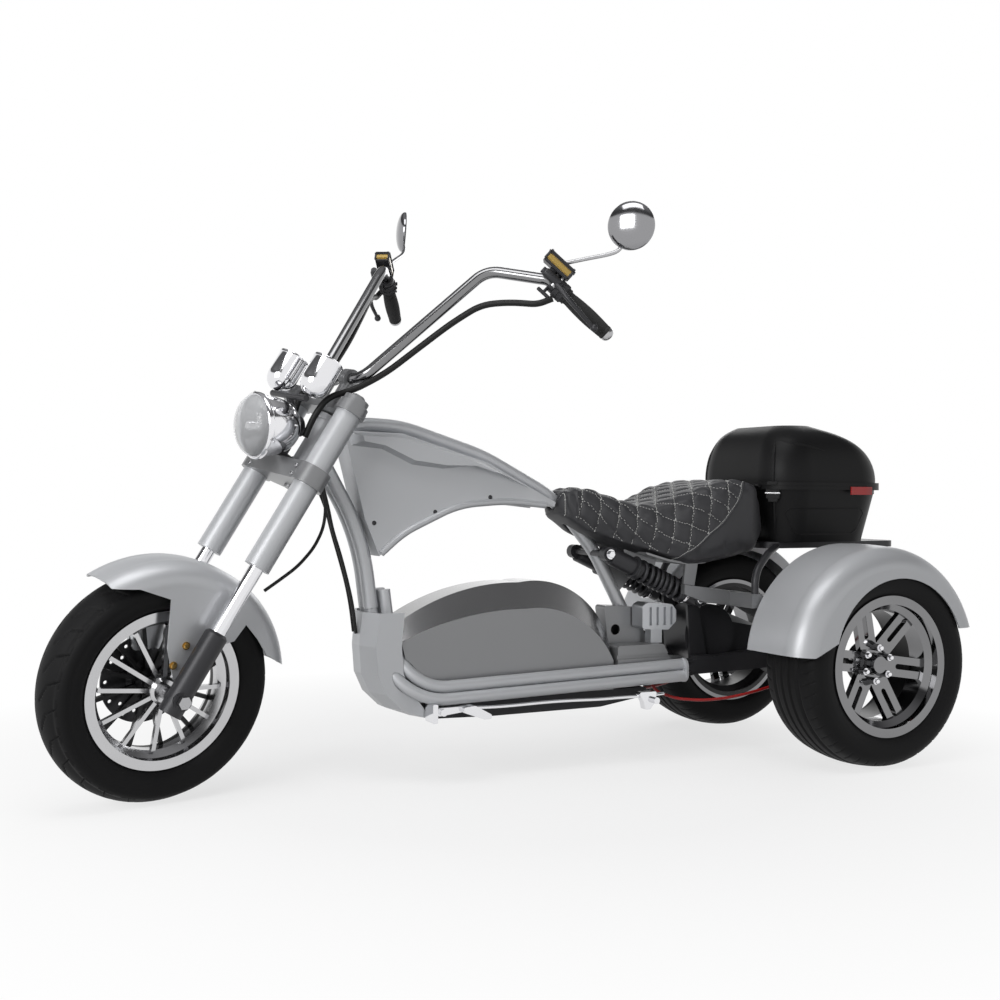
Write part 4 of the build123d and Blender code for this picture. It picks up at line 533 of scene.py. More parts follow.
def repeat_tree(name: str) -> bpy.types.NodeTree:
    """Node tree that sets one piece on every point of a mesh, turned to the points' 'aim' and 'roll'.

    Args:
        name: Name of the tree.

    Returns:
        The tree, with the inputs Piece, Scale and Seed.
    """
    tree = bpy.data.node_groups.new(name, "GeometryNodeTree")
    face = tree.interface
    face.new_socket("Geometry", in_out="INPUT", socket_type="NodeSocketGeometry")
    face.new_socket("Piece", in_out="INPUT", socket_type="NodeSocketObject")
    size = face.new_socket("Scale", in_out="INPUT", socket_type="NodeSocketFloat")
    size.default_value = 1.0
    seed = face.new_socket("Seed", in_out="INPUT", socket_type="NodeSocketInt")
    seed.default_value = 7
    face.new_socket("Paint", in_out="INPUT", socket_type="NodeSocketMaterial")
    face.new_socket("Geometry", in_out="OUTPUT", socket_type="NodeSocketGeometry")
    nodes, links = tree.nodes, tree.links
    given = nodes.new("NodeGroupInput")
    result = nodes.new("NodeGroupOutput")
    source = nodes.new("GeometryNodeObjectInfo")
    links.new(given.outputs["Piece"], source.inputs["Object"])
    aim = nodes.new("GeometryNodeInputNamedAttribute")
    aim.data_type = "FLOAT_VECTOR"
    aim.inputs["Name"].default_value = "aim"
    turn = nodes.new("FunctionNodeAlignRotationToVector")
    turn.axis = "Z"
    links.new(aim.outputs["Attribute"], turn.inputs["Vector"])
    roll = nodes.new("FunctionNodeRandomValue")
    roll.data_type = "FLOAT"
    roll.inputs[3].default_value = 2 * math.pi
    links.new(given.outputs["Seed"], roll.inputs["Seed"])
    own = nodes.new("FunctionNodeAxisAngleToRotation")
    links.new(roll.outputs[1], own.inputs["Angle"])
    both = nodes.new("FunctionNodeRotateRotation")
    both.rotation_space = "LOCAL"
    links.new(turn.outputs["Rotation"], both.inputs["Rotation"])
    links.new(own.outputs["Rotation"], both.inputs["Rotate By"])
    setter = nodes.new("GeometryNodeInstanceOnPoints")
    links.new(given.outputs["Geometry"], setter.inputs["Points"])
    links.new(source.outputs["Geometry"], setter.inputs["Instance"])
    links.new(both.outputs["Rotation"], setter.inputs["Rotation"])
    links.new(given.outputs["Scale"], setter.inputs["Scale"])
    real = nodes.new("GeometryNodeRealizeInstances")
    links.new(setter.outputs["Instances"], real.inputs["Geometry"])
    paint = nodes.new("GeometryNodeSetMaterial")
    links.new(real.outputs["Geometry"], paint.inputs["Geometry"])
    links.new(given.outputs["Paint"], paint.inputs["Material"])
    links.new(paint.outputs["Geometry"], result.inputs["Geometry"])
    return tree


def repeated(name: str, piece: bpy.types.Object, spots: Sequence[tuple[Vector, Vector]],
             finish: Finish, scale: float = 1.0, seed: int = 7) -> bpy.types.Object:
    """Set copies of a piece on spots with Geometry Nodes.

    Args:
        name: Name of the whole.
        piece: The piece to repeat, which is used up.
        spots: Place in metres and direction of each copy.
        finish: Finish of the copies.
        scale: Scale of the copies.
        seed: Seed of the copies' own turns.

    Returns:
        The object with all copies.
    """
    mesh = bpy.data.meshes.new(name)
    mesh.from_pydata([tuple(place) for place, _ in spots], [], [])
    aims = mesh.attributes.new("aim", "FLOAT_VECTOR", "POINT")
    for k, (_, aim) in enumerate(spots):
        aims.data[k].vector = aim.normalized()
    whole = bpy.data.objects.new(name, mesh)
    bpy.context.scene.collection.objects.link(whole)
    tree = bpy.data.node_groups.get("repeat_piece") or repeat_tree("repeat_piece")
    modifier = whole.modifiers.new("repeat", "NODES")
    modifier.node_group = tree
    values = {"Piece": piece, "Scale": scale, "Seed": seed, "Paint": finish.material()}
    for socket in tree.interface.items_tree:
        if getattr(socket, "in_out", "") == "INPUT" and socket.name in values:
            modifier[socket.identifier] = values[socket.name]
    applied(whole)
    bpy.data.objects.remove(piece)
    return whole


# Wheels


class Tread(Enum):
    """Groove patterns of the road tyres."""

    CHEVRON = "chevron"
    RIB = "rib"


def arc_points(start: tuple[float, float], middle: tuple[float, float], end: tuple[float, float],
               count: int) -> list[tuple[float, float]]:
    """Points of the arc through three points, without the last."""
    (ax, ay), (bx, by), (cx, cy) = start, middle, end
    d = 2 * (ax * (by - cy) + bx * (cy - ay) + cx * (ay - by))
    ux = ((ax * ax + ay * ay) * (by - cy) + (bx * bx + by * by) * (cy - ay) + (cx * cx + cy * cy) * (ay - by)) / d
    uy = ((ax * ax + ay * ay) * (cx - bx) + (bx * bx + by * by) * (ax - cx) + (cx * cx + cy * cy) * (bx - ax)) / d
    radius = math.hypot(ax - ux, ay - uy)
    first = math.atan2(ay - uy, ax - ux)
    through = (math.atan2(by - uy, bx - ux) - first + math.pi) % (2 * math.pi) - math.pi
    last = (math.atan2(cy - uy, cx - ux) - first + math.pi) % (2 * math.pi) - math.pi
    if through * last < 0:
        last += math.copysign(2 * math.pi, through)
    return [(ux + radius * math.cos(first + last * k / count), uy + radius * math.sin(first + last * k / count))
            for k in range(count)]


@dataclass(frozen=True)
class RoadTyre:
    """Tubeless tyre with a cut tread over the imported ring.

    Attributes:
        name: Name of the piece.
        node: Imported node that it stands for.
        rides: Body that it turns with.
        centre: Wheel centre in metres.
        axis: Wheel axis, towards the trike's left or outside.
        tread: Groove pattern.
        radius: Rolling radius in millimetres.
        half: Half width in millimetres.
        seat_half: Half width at the beads in millimetres.
        crown_half: Half width of the tread in millimetres.
        crown_drop: How far the shoulders lie below the crown in millimetres.
        lip_r: Radius of the rim's lip in millimetres.
        around: Steps around.
    """

    name: str
    node: str
    rides: Rides
    centre: Vector
    axis: Vector
    tread: Tread
    radius: float
    half: float
    seat_half: float
    crown_half: float
    crown_drop: float
    lip_r: float = 168.0
    around: int = 720

    def profile(self) -> list[tuple[float, float]]:
        """Outer outline from bead to bead as radius and side."""
        lip, wide_r = self.lip_r + 2, (self.lip_r + self.radius) / 2 - 2
        shoulder = self.radius - self.crown_drop
        bulge = ((wide_r + shoulder) / 2 + 5, (self.half + self.crown_half) / 2 + 6)
        left = [*arc_points((lip, self.seat_half), (self.lip_r + 16, self.half - 3), (wide_r, self.half), 8),
                *arc_points((wide_r, self.half), bulge, (shoulder, self.crown_half), 14)]
        rows = int(self.crown_half / 1.6)
        crown = arc_points((shoulder, self.crown_half), (self.radius, 0.0), (shoulder, -self.crown_half), rows)
        right = [(r, -y) for r, y in reversed(left)]
        return [(154.0, self.seat_half), *left, *crown, (shoulder, -self.crown_half), *right[:-1],
                (lip, -self.seat_half), (154.0, -self.seat_half)]

    def groove(self, angle: float, side: float) -> float:
        """Depth of the tread's grooves in millimetres.

        Args:
            angle: Place around the tyre.
            side: Arc length from the crown's middle in millimetres.
        """
        run = angle * self.radius
        reach = abs(side)
        if self.tread is Tread.RIB:
            rings = min(abs(reach - 13.0), abs(reach - 41.0))
            depth = 4.0 * edge(rings, 3.4)
            if reach > 50.0:
                pitch = 2 * math.pi * self.radius / 54
                away = abs((run + 0.35 * reach + pitch / 2) % pitch - pitch / 2)
                depth = max(depth, 2.5 * edge(away, 1.3) * edge(abs(reach - 74.0), 17.0))
            return depth
        pitch = 2 * math.pi * self.radius / 26
        shift = 0.0 if side > 0 else pitch / 2
        kink = 1.9 * (reach - 30.0) if reach < 30.0 else 0.55 * (reach - 30.0)
        away = abs((run + shift + kink + pitch / 2) % pitch - pitch / 2)
        slope = 1.9 if reach < 30.0 else 0.55
        depth = 3.4 * edge(away / math.hypot(1.0, slope), 1.5) * edge(abs(reach - 34.0), 24.0)
        return max(depth, 2.6 * edge(abs(reach - 58.0), 1.2) * edge(away - pitch * 0.2, pitch * 0.12))

    def build(self) -> bpy.types.Object:
        """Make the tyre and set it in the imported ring's place."""
        first, second = across_axis(self.axis)
        line = self.profile()
        sides = [0.0]
        for before, here in zip(line, line[1:]):
            sides.append(sides[-1] + math.dist(before, here))
        middle = sides[-1] / 2
        verts = []
        for k in range(self.around):
            angle = 2 * math.pi * k / self.around
            out = first * math.cos(angle) + second * math.sin(angle)
            for (radius, side), run in zip(line, sides):
                cut = self.groove(angle, run - middle) if radius > self.radius - 34.0 else 0.0
                raised = 0.7 if abs(radius - self.lip_r - 12.0) < 2.2 else 0.0
                verts.append(self.centre + (out * (radius - cut) + self.axis * (side + math.copysign(raised, side)))
                             / 1000.0)
        rows = len(line)
        faces = []
        for k in range(self.around):
            low, high = k * rows, (k + 1) % self.around * rows
            for n in range(rows):
                nxt = (n + 1) % rows
                faces.append([low + n, low + nxt, high + nxt, high + n])
        made = new_piece(self.name, verts, faces, TYRE_RUBBER)
        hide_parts(self.node)
        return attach(made, self.rides.value)


def edge(away: float, half: float) -> float:
    """One inside a band of this half width, zero outside, with a soft edge."""
    return max(0.0, min(1.0, (half + 0.9 - away) / 1.8))


@dataclass(frozen=True)
class ShadeBehindFace:
    """Finish with painted shade: it changes at a plane across an axis, and on the far side, within a radius, a dark
    finish stands for the shade in a rim's recesses behind its face.

    Attributes:
        name: Name of the material.
        near: Finish on the side that the axis points to.
        far: Dark finish on the other side, painted there as shade.
        place: Point of the plane in metres.
        axis: Direction square to the plane.
        lip: Radius in metres beyond which the near finish stays.
    """

    name: str
    near: Finish
    far: Finish
    place: Vector
    axis: Vector
    lip: float = 10.0

    def material(self) -> bpy.types.Material:
        """Return the material, made on first use."""
        found = bpy.data.materials.get(self.name)
        if found:
            return found
        made = bpy.data.materials.new(self.name)
        made.use_nodes = True
        nodes, links = made.node_tree.nodes, made.node_tree.links
        shader = nodes["Principled BSDF"]
        coords = nodes.new("ShaderNodeTexCoord").outputs["Object"]
        away = nodes.new("ShaderNodeVectorMath")
        away.operation = "SUBTRACT"
        away.inputs[1].default_value = self.place
        links.new(coords, away.inputs[0])
        depth = nodes.new("ShaderNodeVectorMath")
        depth.operation = "DOT_PRODUCT"
        depth.inputs[1].default_value = self.axis.normalized()
        links.new(away.outputs["Vector"], depth.inputs[0])
        length = nodes.new("ShaderNodeVectorMath")
        length.operation = "LENGTH"
        links.new(away.outputs["Vector"], length.inputs[0])
        front = nodes.new("ShaderNodeMath")
        front.operation = "GREATER_THAN"
        front.inputs[1].default_value = 0.0
        links.new(depth.outputs["Value"], front.inputs[0])
        rim = nodes.new("ShaderNodeMath")
        rim.operation = "GREATER_THAN"
        rim.inputs[1].default_value = self.lip
        links.new(length.outputs["Value"], rim.inputs[0])
        # Painted shade: where this mask is nought, behind the plane and inside the lip, the dark far finish is used.
        face_unshaded = nodes.new("ShaderNodeMath")
        face_unshaded.operation = "MAXIMUM"
        links.new(front.outputs["Value"], face_unshaded.inputs[0])
        links.new(rim.outputs["Value"], face_unshaded.inputs[1])
        noise = link_noise(nodes, links, coords, 9.0, 4.0)
        for socket, low, high in (("Base Color", self.far.color, self.near.color),
                                  ("Metallic", self.far.metallic, self.near.metallic),
                                  ("Roughness", self.far.roughness, self.near.roughness)):
            mix = nodes.new("ShaderNodeMix")
            mix.data_type = "RGBA"
            mix.inputs["A"].default_value = (*low, 1.0) if isinstance(low, tuple) else (low, low, low, 1.0)
            mix.inputs["B"].default_value = (*high, 1.0) if isinstance(high, tuple) else (high, high, high, 1.0)
            links.new(face_unshaded.outputs["Value"], mix.inputs["Factor"])
            vary = nodes.new("ShaderNodeMapRange")
            vary.inputs["To Min"].default_value = 0.92
            vary.inputs["To Max"].default_value = 1.08
            links.new(noise, vary.inputs["Value"])
            scale = nodes.new("ShaderNodeVectorMath")
            scale.operation = "SCALE"
            links.new(mix.outputs["Result"], scale.inputs[0])
            links.new(vary.outputs["Result"], scale.inputs["Scale"])
            links.new(scale.outputs["Vector"], shader.inputs[socket])
        return made


@dataclass
class Wheels:
    """The three road wheels: tyres, rim and disc finishes, lug nuts and hub caps."""

    track: float = 617.0
    rear_r: float = 245.0
    dish: float = 26.0
    lug_circle: float = 40.0
    lugs: int = 6

    def build(self, nodes: dict[str, bpy.types.Object]) -> None:
        """Dress the wheels.

        Args:
            nodes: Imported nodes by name.
        """
        front_axis = Matrix.Rotation(TURN, 3, UP_LEG) @ Vector((0.0, 1.0, 0.0))
        front_centre = steered(1636.0, 0.0, 246.0)
        RoadTyre("front_tyre_tread", "front_tyre", Rides.FRONT_WHEEL, front_centre, front_axis, Tread.CHEVRON,
                 245.9, 61.0, 42.7, 44.0, 16.0).build()
        # Painted shade: the front rim is black to the right of a plane 4 mm right of the wheel's middle and within 140
        # mm of the centre, behind its spokes.
        front = ShadeBehindFace("front_rim_painted_shade", POLISHED_ALLOY, BLACK_PAINT, front_centre - front_axis * 0.004,
                        front_axis, 0.140)
        dress(nodes["front_rim"], front.material())
        dress(nodes["front_disc"], DARK_STEEL)
        for side, sign, rides in (("left", 1.0, Rides.REAR_LEFT), ("right", -1.0, Rides.REAR_RIGHT)):
            axis = Vector((0.0, sign, 0.0))
            centre = at(0.0, sign * self.track / 2, self.rear_r)
            RoadTyre(f"rear_tyre_{side}_tread", f"rear_tyre_{side}", rides, centre + axis * 0.004, axis, Tread.RIB,
                     245.0, 95.0, 83.7, 70.0, 7.0, around=600).build()
            # Painted shade: each rear rim is black inward of a plane 12 mm out from its middle and within 185 mm of the
            # centre, in its barrel and behind its spokes.
            painted_shade = ShadeBehindFace(f"rear_rim_{side}_tones", WHEEL_CHROME, BLACK_PAINT, centre + axis * 0.012, axis, 0.185)
            dress(nodes[f"rear_rim_{side}"], painted_shade.material())
            self.add_lugs(side, centre, axis, rides)

    def add_lugs(self, side: str, centre: Vector, axis: Vector, rides: Rides) -> None:
        """Set domed chrome nuts over the lugs and the grey centre cap."""
        first, second = Vector((1.0, 0.0, 0.0)), Vector((0.0, 0.0, 1.0))
        spots = []
        for k in range(self.lugs):
            angle = math.radians(38.0 + 60.0 * k)
            spots.append((centre + (axis * (self.dish + 21.0) + (first * math.cos(angle) + second * math.sin(angle))
                                    * self.lug_circle) / 1000.0, axis))
        nuts = repeated(f"lug_nuts_{side}", fastener(Head.HEX, 6.2, 9.0, CHROME), spots, CHROME)
        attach(nuts, rides.value)
        cap = turned(f"hub_cap_{side}", [(27.0, 22.0), (27.0, 30.0), (25.0, 33.0), (19.0, 34.2), (18.0, 33.4), (0.0, 34.0)],
                     centre + axis * 0.0, axis, CAP_GREY)
        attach(cap, rides.value)



# Suspension


@dataclass
class Shocks:
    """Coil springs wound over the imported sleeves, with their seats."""

    top: Point = (588.0, 506.0, 80.0)
    low: Point = (331.0, 389.0, 80.0)
    wire: float = 5.0
    coil_r: float = 23.0
    turns: float = 8.5

    def build(self) -> None:
        """Wind both springs."""
        parts = []
        for sign in (1.0, -1.0):
            top = at(self.top[0], sign * self.top[2], self.top[1])
            low = at(self.low[0], sign * self.low[2], self.low[1])
            parts += self.wind(top, low, sign)
        springs = joined("coil_springs", parts)
        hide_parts("shock_springs")
        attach(springs, Rides.CHASSIS.value)

    def wind(self, top: Vector, low: Vector, sign: float) -> list[bpy.types.Object]:
        """One spring between its seats."""
        along = (top - low).normalized()
        length = (top - low).length
        first, second = across_axis(along)
        start, end = low + along * 0.052, top - along * 0.085
        count = int(self.turns * 26)
        path = []
        for k in range(count + 1):
            share = k / count
            angle = 2 * math.pi * self.turns * share
            squeeze = share + 0.035 * math.sin(2 * math.pi * share)
            path.append(start.lerp(end, squeeze) + (first * math.cos(angle) + second * math.sin(angle))
                        * (self.coil_r / 1000.0))
        coil = tube("coil", path, self.wire, BLACK_PAINT, 10)
        seat = turned("seat_ring", [(19.0, 0.0), (27.0, 0.0), (28.0, 2.0), (28.0, 6.0), (20.0, 7.0), (19.0, 7.0)],
                      end + along * 0.002, along, BLACK_PAINT, 40, True)
        base = turned("base_ring", [(19.0, -7.0), (27.0, -7.0), (28.0, -5.0), (28.0, 0.0), (19.0, 0.0)],
                      start - along * 0.004, along, CHROME, 40, True)
        LOG.debug("spring of %.3f m", length)
        return [coil, seat, base]


# Seat


@dataclass
class Wrap:
    """Lengths over the cross-sections of a saddle, by which a pattern runs over its shoulders.

    Attributes:
        tree: Search tree of the saddle.
        first: First section, in millimetres ahead of the axle.
        last: Last section.
        step: Distance between sections.
        turns: Directions tried in each section, from straight up to the underside.
    """

    tree: BVHTree
    first: float = 172.0
    last: float = 688.0
    step: float = 6.0
    turns: int = 62
    tops: list[float] = field(default_factory=list)
    middles: list[float] = field(default_factory=list)
    rows: dict[float, list[tuple[list[float], list[Vector]]]] = field(default_factory=dict)

    def measure(self) -> Wrap:
        """Read the sections off the saddle."""
        count = int((self.last - self.first) / self.step) + 1
        self.rows = {1.0: [], -1.0: []}
        for k in range(count):
            x = self.first + k * self.step
            top = self.tree.ray_cast(at(x, 0.0, 900.0), Vector((0, 0, -1)))[0]
            foot = self.tree.ray_cast(at(x, 0.0, 200.0), Vector((0, 0, 1)))[0]
            self.tops.append(top.z * 1000.0)
            self.middles.append((top.z + foot.z) * 500.0)
            for sign in (1.0, -1.0):
                self.rows[sign].append(self.section(x, self.middles[-1], sign))
        return self

    def section(self, x: float, middle: float, sign: float) -> tuple[list[float], list[Vector]]:
        """Lengths and points of half a section, from its top down to the side given by the sign."""
        centre = at(x, 0.0, middle)
        runs, points = [0.0], []
        for k in range(self.turns + 1):
            turn = math.radians(150.0) * k / self.turns
            hit = self.tree.ray_cast(centre, Vector((0.0, sign * math.sin(turn), math.cos(turn))))[0]
            if hit is None:
                hit = points[-1].copy()
            if points:
                runs.append(runs[-1] + (hit - points[-1]).length * 1000.0)
            points.append(hit)
        return runs, points

    def between(self, x: float) -> tuple[int, float]:
        """Section before a place and the share of the way to the next."""
        spot = min(max((x - self.first) / self.step, 0.0), len(self.tops) - 1.001)
        return int(spot), spot - int(spot)

    def point(self, x: float, run: float) -> Vector:
        """Point of the saddle at a section and a length from its top, left of it if positive."""
        k, share = self.between(x)
        sign = 1.0 if run >= 0.0 else -1.0
        ends = []
        for runs, points in self.rows[sign][k:k + 2]:
            n = min(max(bisect.bisect_right(runs, abs(run)) - 1, 0), len(runs) - 2)
            wide = runs[n + 1] - runs[n]
            ends.append(points[n].lerp(points[n + 1], min(1.0, (abs(run) - runs[n]) / wide) if wide else 0.0))
        return ends[0].lerp(ends[1], share)

    def run(self, spot: Vector) -> float:
        """Length from the top to a point of the saddle, negative on the right."""
        place = (spot - ZERO) * 1000.0
        k, share = self.between(place.x)
        middle = self.middles[k] * (1.0 - share) + self.middles[k + 1] * share
        turn = abs(math.atan2(abs(place.y), place.z - middle)) / math.radians(150.0) * self.turns
        n = min(int(turn), self.turns - 1)
        part = min(1.0, turn - n)
        found = []
        for runs, _ in self.rows[1.0 if place.y >= 0.0 else -1.0][k:k + 2]:
            found.append(runs[n] * (1.0 - part) + runs[n + 1] * part)
        return math.copysign(found[0] * (1.0 - share) + found[1] * share, place.y)

    def top(self, x: float) -> float:
        """Height of the saddle's top in millimetres at a section."""
        k, share = self.between(x)
        return self.tops[k] * (1.0 - share) + self.tops[k + 1] * share


@dataclass
class Saddle:
    """Quilted leather saddle: swollen by a cloth pass, with a diamond quilt and a piped seam.

    Attributes:
        voxel: Size of the remesh in metres.
        cap: How far the swelling may move a point, in metres.
        half_long: Half of a diamond along the saddle, in millimetres.
        half_wide: Half of a diamond over its sections, in millimetres.
        phase: Where a crossing lies on the middle line, in millimetres ahead of the axle.
        slant: How far the pattern moves back for each millimetre down a side.
        dip: Depth of the sewn channels in metres.
    """

    voxel: float = 0.005
    cap: float = 0.006
    half_long: float = 26.0
    half_wide: float = 41.0
    phase: float = 40.5
    slant: float = 0.47
    dip: float = 0.0042
    seam: tuple[tuple[float, float], ...] = ((423.0, 488.0), (405.0, 507.0), (377.0, 526.0), (345.0, 555.0),
                                             (312.0, 581.0), (285.0, 611.0), (260.0, 641.0), (250.0, 662.0))

    def build(self, node: bpy.types.Object) -> None:
        """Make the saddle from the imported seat.

        Args:
            node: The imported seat.
        """
        body = self.remeshed(node)
        self.swell(body)
        wrap = self.quilt(body)
        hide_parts("seat")
        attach(body, Rides.CHASSIS.value)
        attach(self.stitches(wrap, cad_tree(body)), Rides.CHASSIS.value)
        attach(self.piping(wrap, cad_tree(body)), Rides.CHASSIS.value)

    def remeshed(self, node: bpy.types.Object) -> bpy.types.Object:
        """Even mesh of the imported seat, a little smaller."""
        mesh = node.data.copy()
        work = bmesh.new()
        work.from_mesh(mesh)
        bmesh.ops.remove_doubles(work, verts=work.verts, dist=1e-6)
        bmesh.ops.recalc_face_normals(work, faces=work.faces)
        work.to_mesh(mesh)
        work.free()
        body = bpy.data.objects.new("saddle", mesh)
        bpy.context.scene.collection.objects.link(body)
        remesh = body.modifiers.new("remesh", "REMESH")
        remesh.mode = "VOXEL"
        remesh.voxel_size = self.voxel
        smooth = body.modifiers.new("smooth", "SMOOTH")
        smooth.factor = 0.5
        smooth.iterations = 18
        applied(body)
        body.data.materials.clear()
        body.data.materials.append(LEATHER.material())
        return body

    def swell(self, body: bpy.types.Object) -> None:
        """Run the cloth pass, cap its movement and even out its folds."""
        rest = [v.co.copy() for v in body.data.vertices]
        cloth = body.modifiers.new("cloth", "CLOTH")
        settings = cloth.settings
        settings.quality = 4
        settings.use_pressure = True
        settings.uniform_pressure_force = 4.0
        settings.effector_weights.gravity = 0.0
        scene = bpy.context.scene
        for number in range(1, 21):
            scene.frame_set(number)
        applied(body)
        scene.frame_set(1)
        for vert, start in zip(body.data.vertices, rest):
            move = vert.co - start
            if move.length > self.cap:
                move *= self.cap / move.length
            vert.co = start + move
        smooth = body.modifiers.new("smooth", "SMOOTH")
        smooth.factor = 0.5
        smooth.iterations = 8
        applied(body)

    def rear_limit(self, side: float, up: float) -> float:
        """How far ahead of the axle the quilt starts, in millimetres."""
        if up > self.seam[-1][1]:
            return 184.0 + 66.0 * min(1.0, abs(side) / 150.0) ** 3
        for (x0, z0), (x1, z1) in zip(self.seam, self.seam[1:]):
            if z0 <= up <= z1:
                return x0 + (x1 - x0) * (up - z0) / (z1 - z0)
        return self.seam[0][0]

    def share(self, spot: Vector, normal: Vector) -> float:
        """How much a point belongs to the quilt, from nought to one."""
        place = (spot - ZERO) * 1000.0
        ahead = (place.x - self.rear_limit(place.y, place.z)) / 10.0
        under = (normal.z + 0.50) / 0.25
        return max(0.0, min(1.0, ahead, under, (712.0 - place.x) / 8.0))

    def lines(self, spot: Vector, wrap: Wrap) -> float:
        """Distance in millimetres from the nearest stitch line."""
        place = (spot - ZERO) * 1000.0
        along = (place.x + self.slant * max(0.0, wrap.top(place.x) - place.z) - self.phase) / self.half_long
        over = wrap.run(spot) / self.half_wide
        scale = self.half_long * self.half_wide / math.hypot(self.half_long, self.half_wide)
        return min(abs(f - 2.0 * round(f / 2.0)) for f in (along + over, along - over)) * scale

    def quilt(self, body: bpy.types.Object) -> Wrap:
        """Press the sewn channels in after one subdivision."""
        sub = body.modifiers.new("subdivide", "SUBSURF")
        sub.levels = sub.render_levels = 1
        applied(body)
        body.data.shade_smooth()
        wrap = Wrap(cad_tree(body)).measure()
        normals = [v.normal.copy() for v in body.data.vertices]
        for vert, normal in zip(body.data.vertices, normals):
            share = self.share(vert.co, normal)
            if share <= 0.0:
                continue
            swell = min(1.0, self.lines(vert.co, wrap) / 15.0)
            height = math.sin(swell * math.pi / 2) ** 0.75 - 1.0
            vert.co += normal * (height * self.dip * share)
        return wrap

    def spot(self, along: float, run: float, wrap: Wrap) -> Vector:
        """Point where the pattern's lengthwise value and a length over the section meet."""
        x = along
        for _ in range(4):
            x = along - self.slant * max(0.0, wrap.top(x) - wrap.point(x, run).z * 1000.0)
        return wrap.point(x, run)

    def on_skin(self, spot: Vector, tree: BVHTree) -> tuple[Vector, Vector, float]:
        """Nearest point of the quilted leather, its outward direction and its share in the quilt."""
        hit, normal, _, _ = tree.find_nearest(spot)
        return hit, normal, self.share(hit, normal)

    def stitches(self, wrap: Wrap, tree: BVHTree) -> bpy.types.Object:
        """Thread along both directions of the quilt, with a small knot at each crossing."""
        spots: list[tuple[Vector, Vector]] = []
        for sign in (1.0, -1.0):
            for line in range(-4, 20):
                spots += self.sewn([self.spot(self.phase + self.half_long * (2 * line - sign * run / self.half_wide),
                                              float(run), wrap) for run in range(-270, 271, 2)], tree)
        knots = []
        for m in range(-8, 34):
            for n in range(-6, 7):
                if (m + n) % 2:
                    continue
                hit, normal, share = self.on_skin(self.spot(self.phase + self.half_long * m, self.half_wide * n,
                                                            wrap), tree)
                if share > 0.6:
                    knots.append((hit + normal * 0.0002, normal))
        thread = turned("thread", [(0.0, -2.4), (0.7, -1.8), (0.9, 0.0), (0.7, 1.8), (0.0, 2.4)],
                        Vector((0, 0, 0)), Vector((0, 0, 1)), THREAD, 6)
        knot = turned("knot", [(1.7, -0.4), (2.3, 0.3), (1.6, 1.1), (0.0, 1.4)], Vector((0, 0, 0)),
                      Vector((0, 0, 1)), THREAD, 8)
        return joined("saddle_stitches", [repeated("stitch_run", thread, spots, THREAD),
                                          repeated("stitch_knots", knot, knots, THREAD)])

    def sewn(self, line: Sequence[Vector], tree: BVHTree, gap: float = 0.0058) -> list[tuple[Vector, Vector]]:
        """Stitches along a line, where it lies in the quilt."""
        out: list[tuple[Vector, Vector]] = []
        passed = 0.0
        for before, here in zip(line, line[1:]):
            passed += (here - before).length
            if passed < gap or here == before:
                continue
            passed = 0.0
            hit, normal, share = self.on_skin(here, tree)
            along = here - before
            along -= normal * along.dot(normal)
            if share > 0.5 and along.length > 1e-5 and (hit - here).length < 0.012:
                out.append((hit + normal * 0.0003, along.normalized()))
        return out

    def piping(self, wrap: Wrap, tree: BVHTree) -> bpy.types.Object:
        """Round welt with a sewn edge along the seam between the quilt and the plain rear panel; the pale thread of
        that edge also paints the highlight line along the piping.
        """
        rows = []
        spots: list[tuple[Vector, Vector]] = []
        for sign in (1.0, -1.0):
            row = []
            for x, z in self.seam[:-1]:
                hit = tree.ray_cast(at(x, sign * 260.0, z), Vector((0.0, -sign, 0.0)))[0]
                if hit is not None:
                    row.append(hit)
            for side in (140.0, 126.0, 104.0, 78.0, 50.0, 24.0, 0.0):
                hit = tree.ray_cast(at(184.0 + 66.0 * (side / 150.0) ** 3, sign * side, 900.0),
                                    Vector((0.0, 0.0, -1.0)))[0]
                if hit is not None:
                    row.append(hit)
            line = smooth_path(row)
            rows.append(tube("welt", [tree.find_nearest(p)[0] for p in line], 2.3, LEATHER, 10))
            # Pale stitches beside the welt: a sewn edge that also paints the piping's highlight line.
            for before, here in zip(line, line[1:]):
                hit, normal, _, _ = tree.find_nearest(here + Vector((0.0045, 0.0, 0.0)))
                spots.append((hit + normal * 0.0003, (here - before).normalized()))
        thread = turned("seam_thread", [(0.0, -1.9), (0.7, -1.4), (0.8, 0.0), (0.7, 1.4), (0.0, 1.9)],
                        Vector((0, 0, 0)), Vector((0, 0, 1)), THREAD, 6)
        sewn = repeated("seam_stitches", thread, spots, THREAD)
        LOG.info("seam of %d stitches, %.0f mm over the section", len(spots), wrap.rows[1.0][20][0][-1])
        return joined("saddle_piping", [*rows, sewn])


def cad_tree(piece: bpy.types.Object) -> BVHTree:
    """Search tree of a piece's own mesh."""
    mesh = piece.data
    return BVHTree.FromPolygons([v.co.copy() for v in mesh.vertices], [tuple(p.vertices) for p in mesh.polygons])


# Top case and cover screws


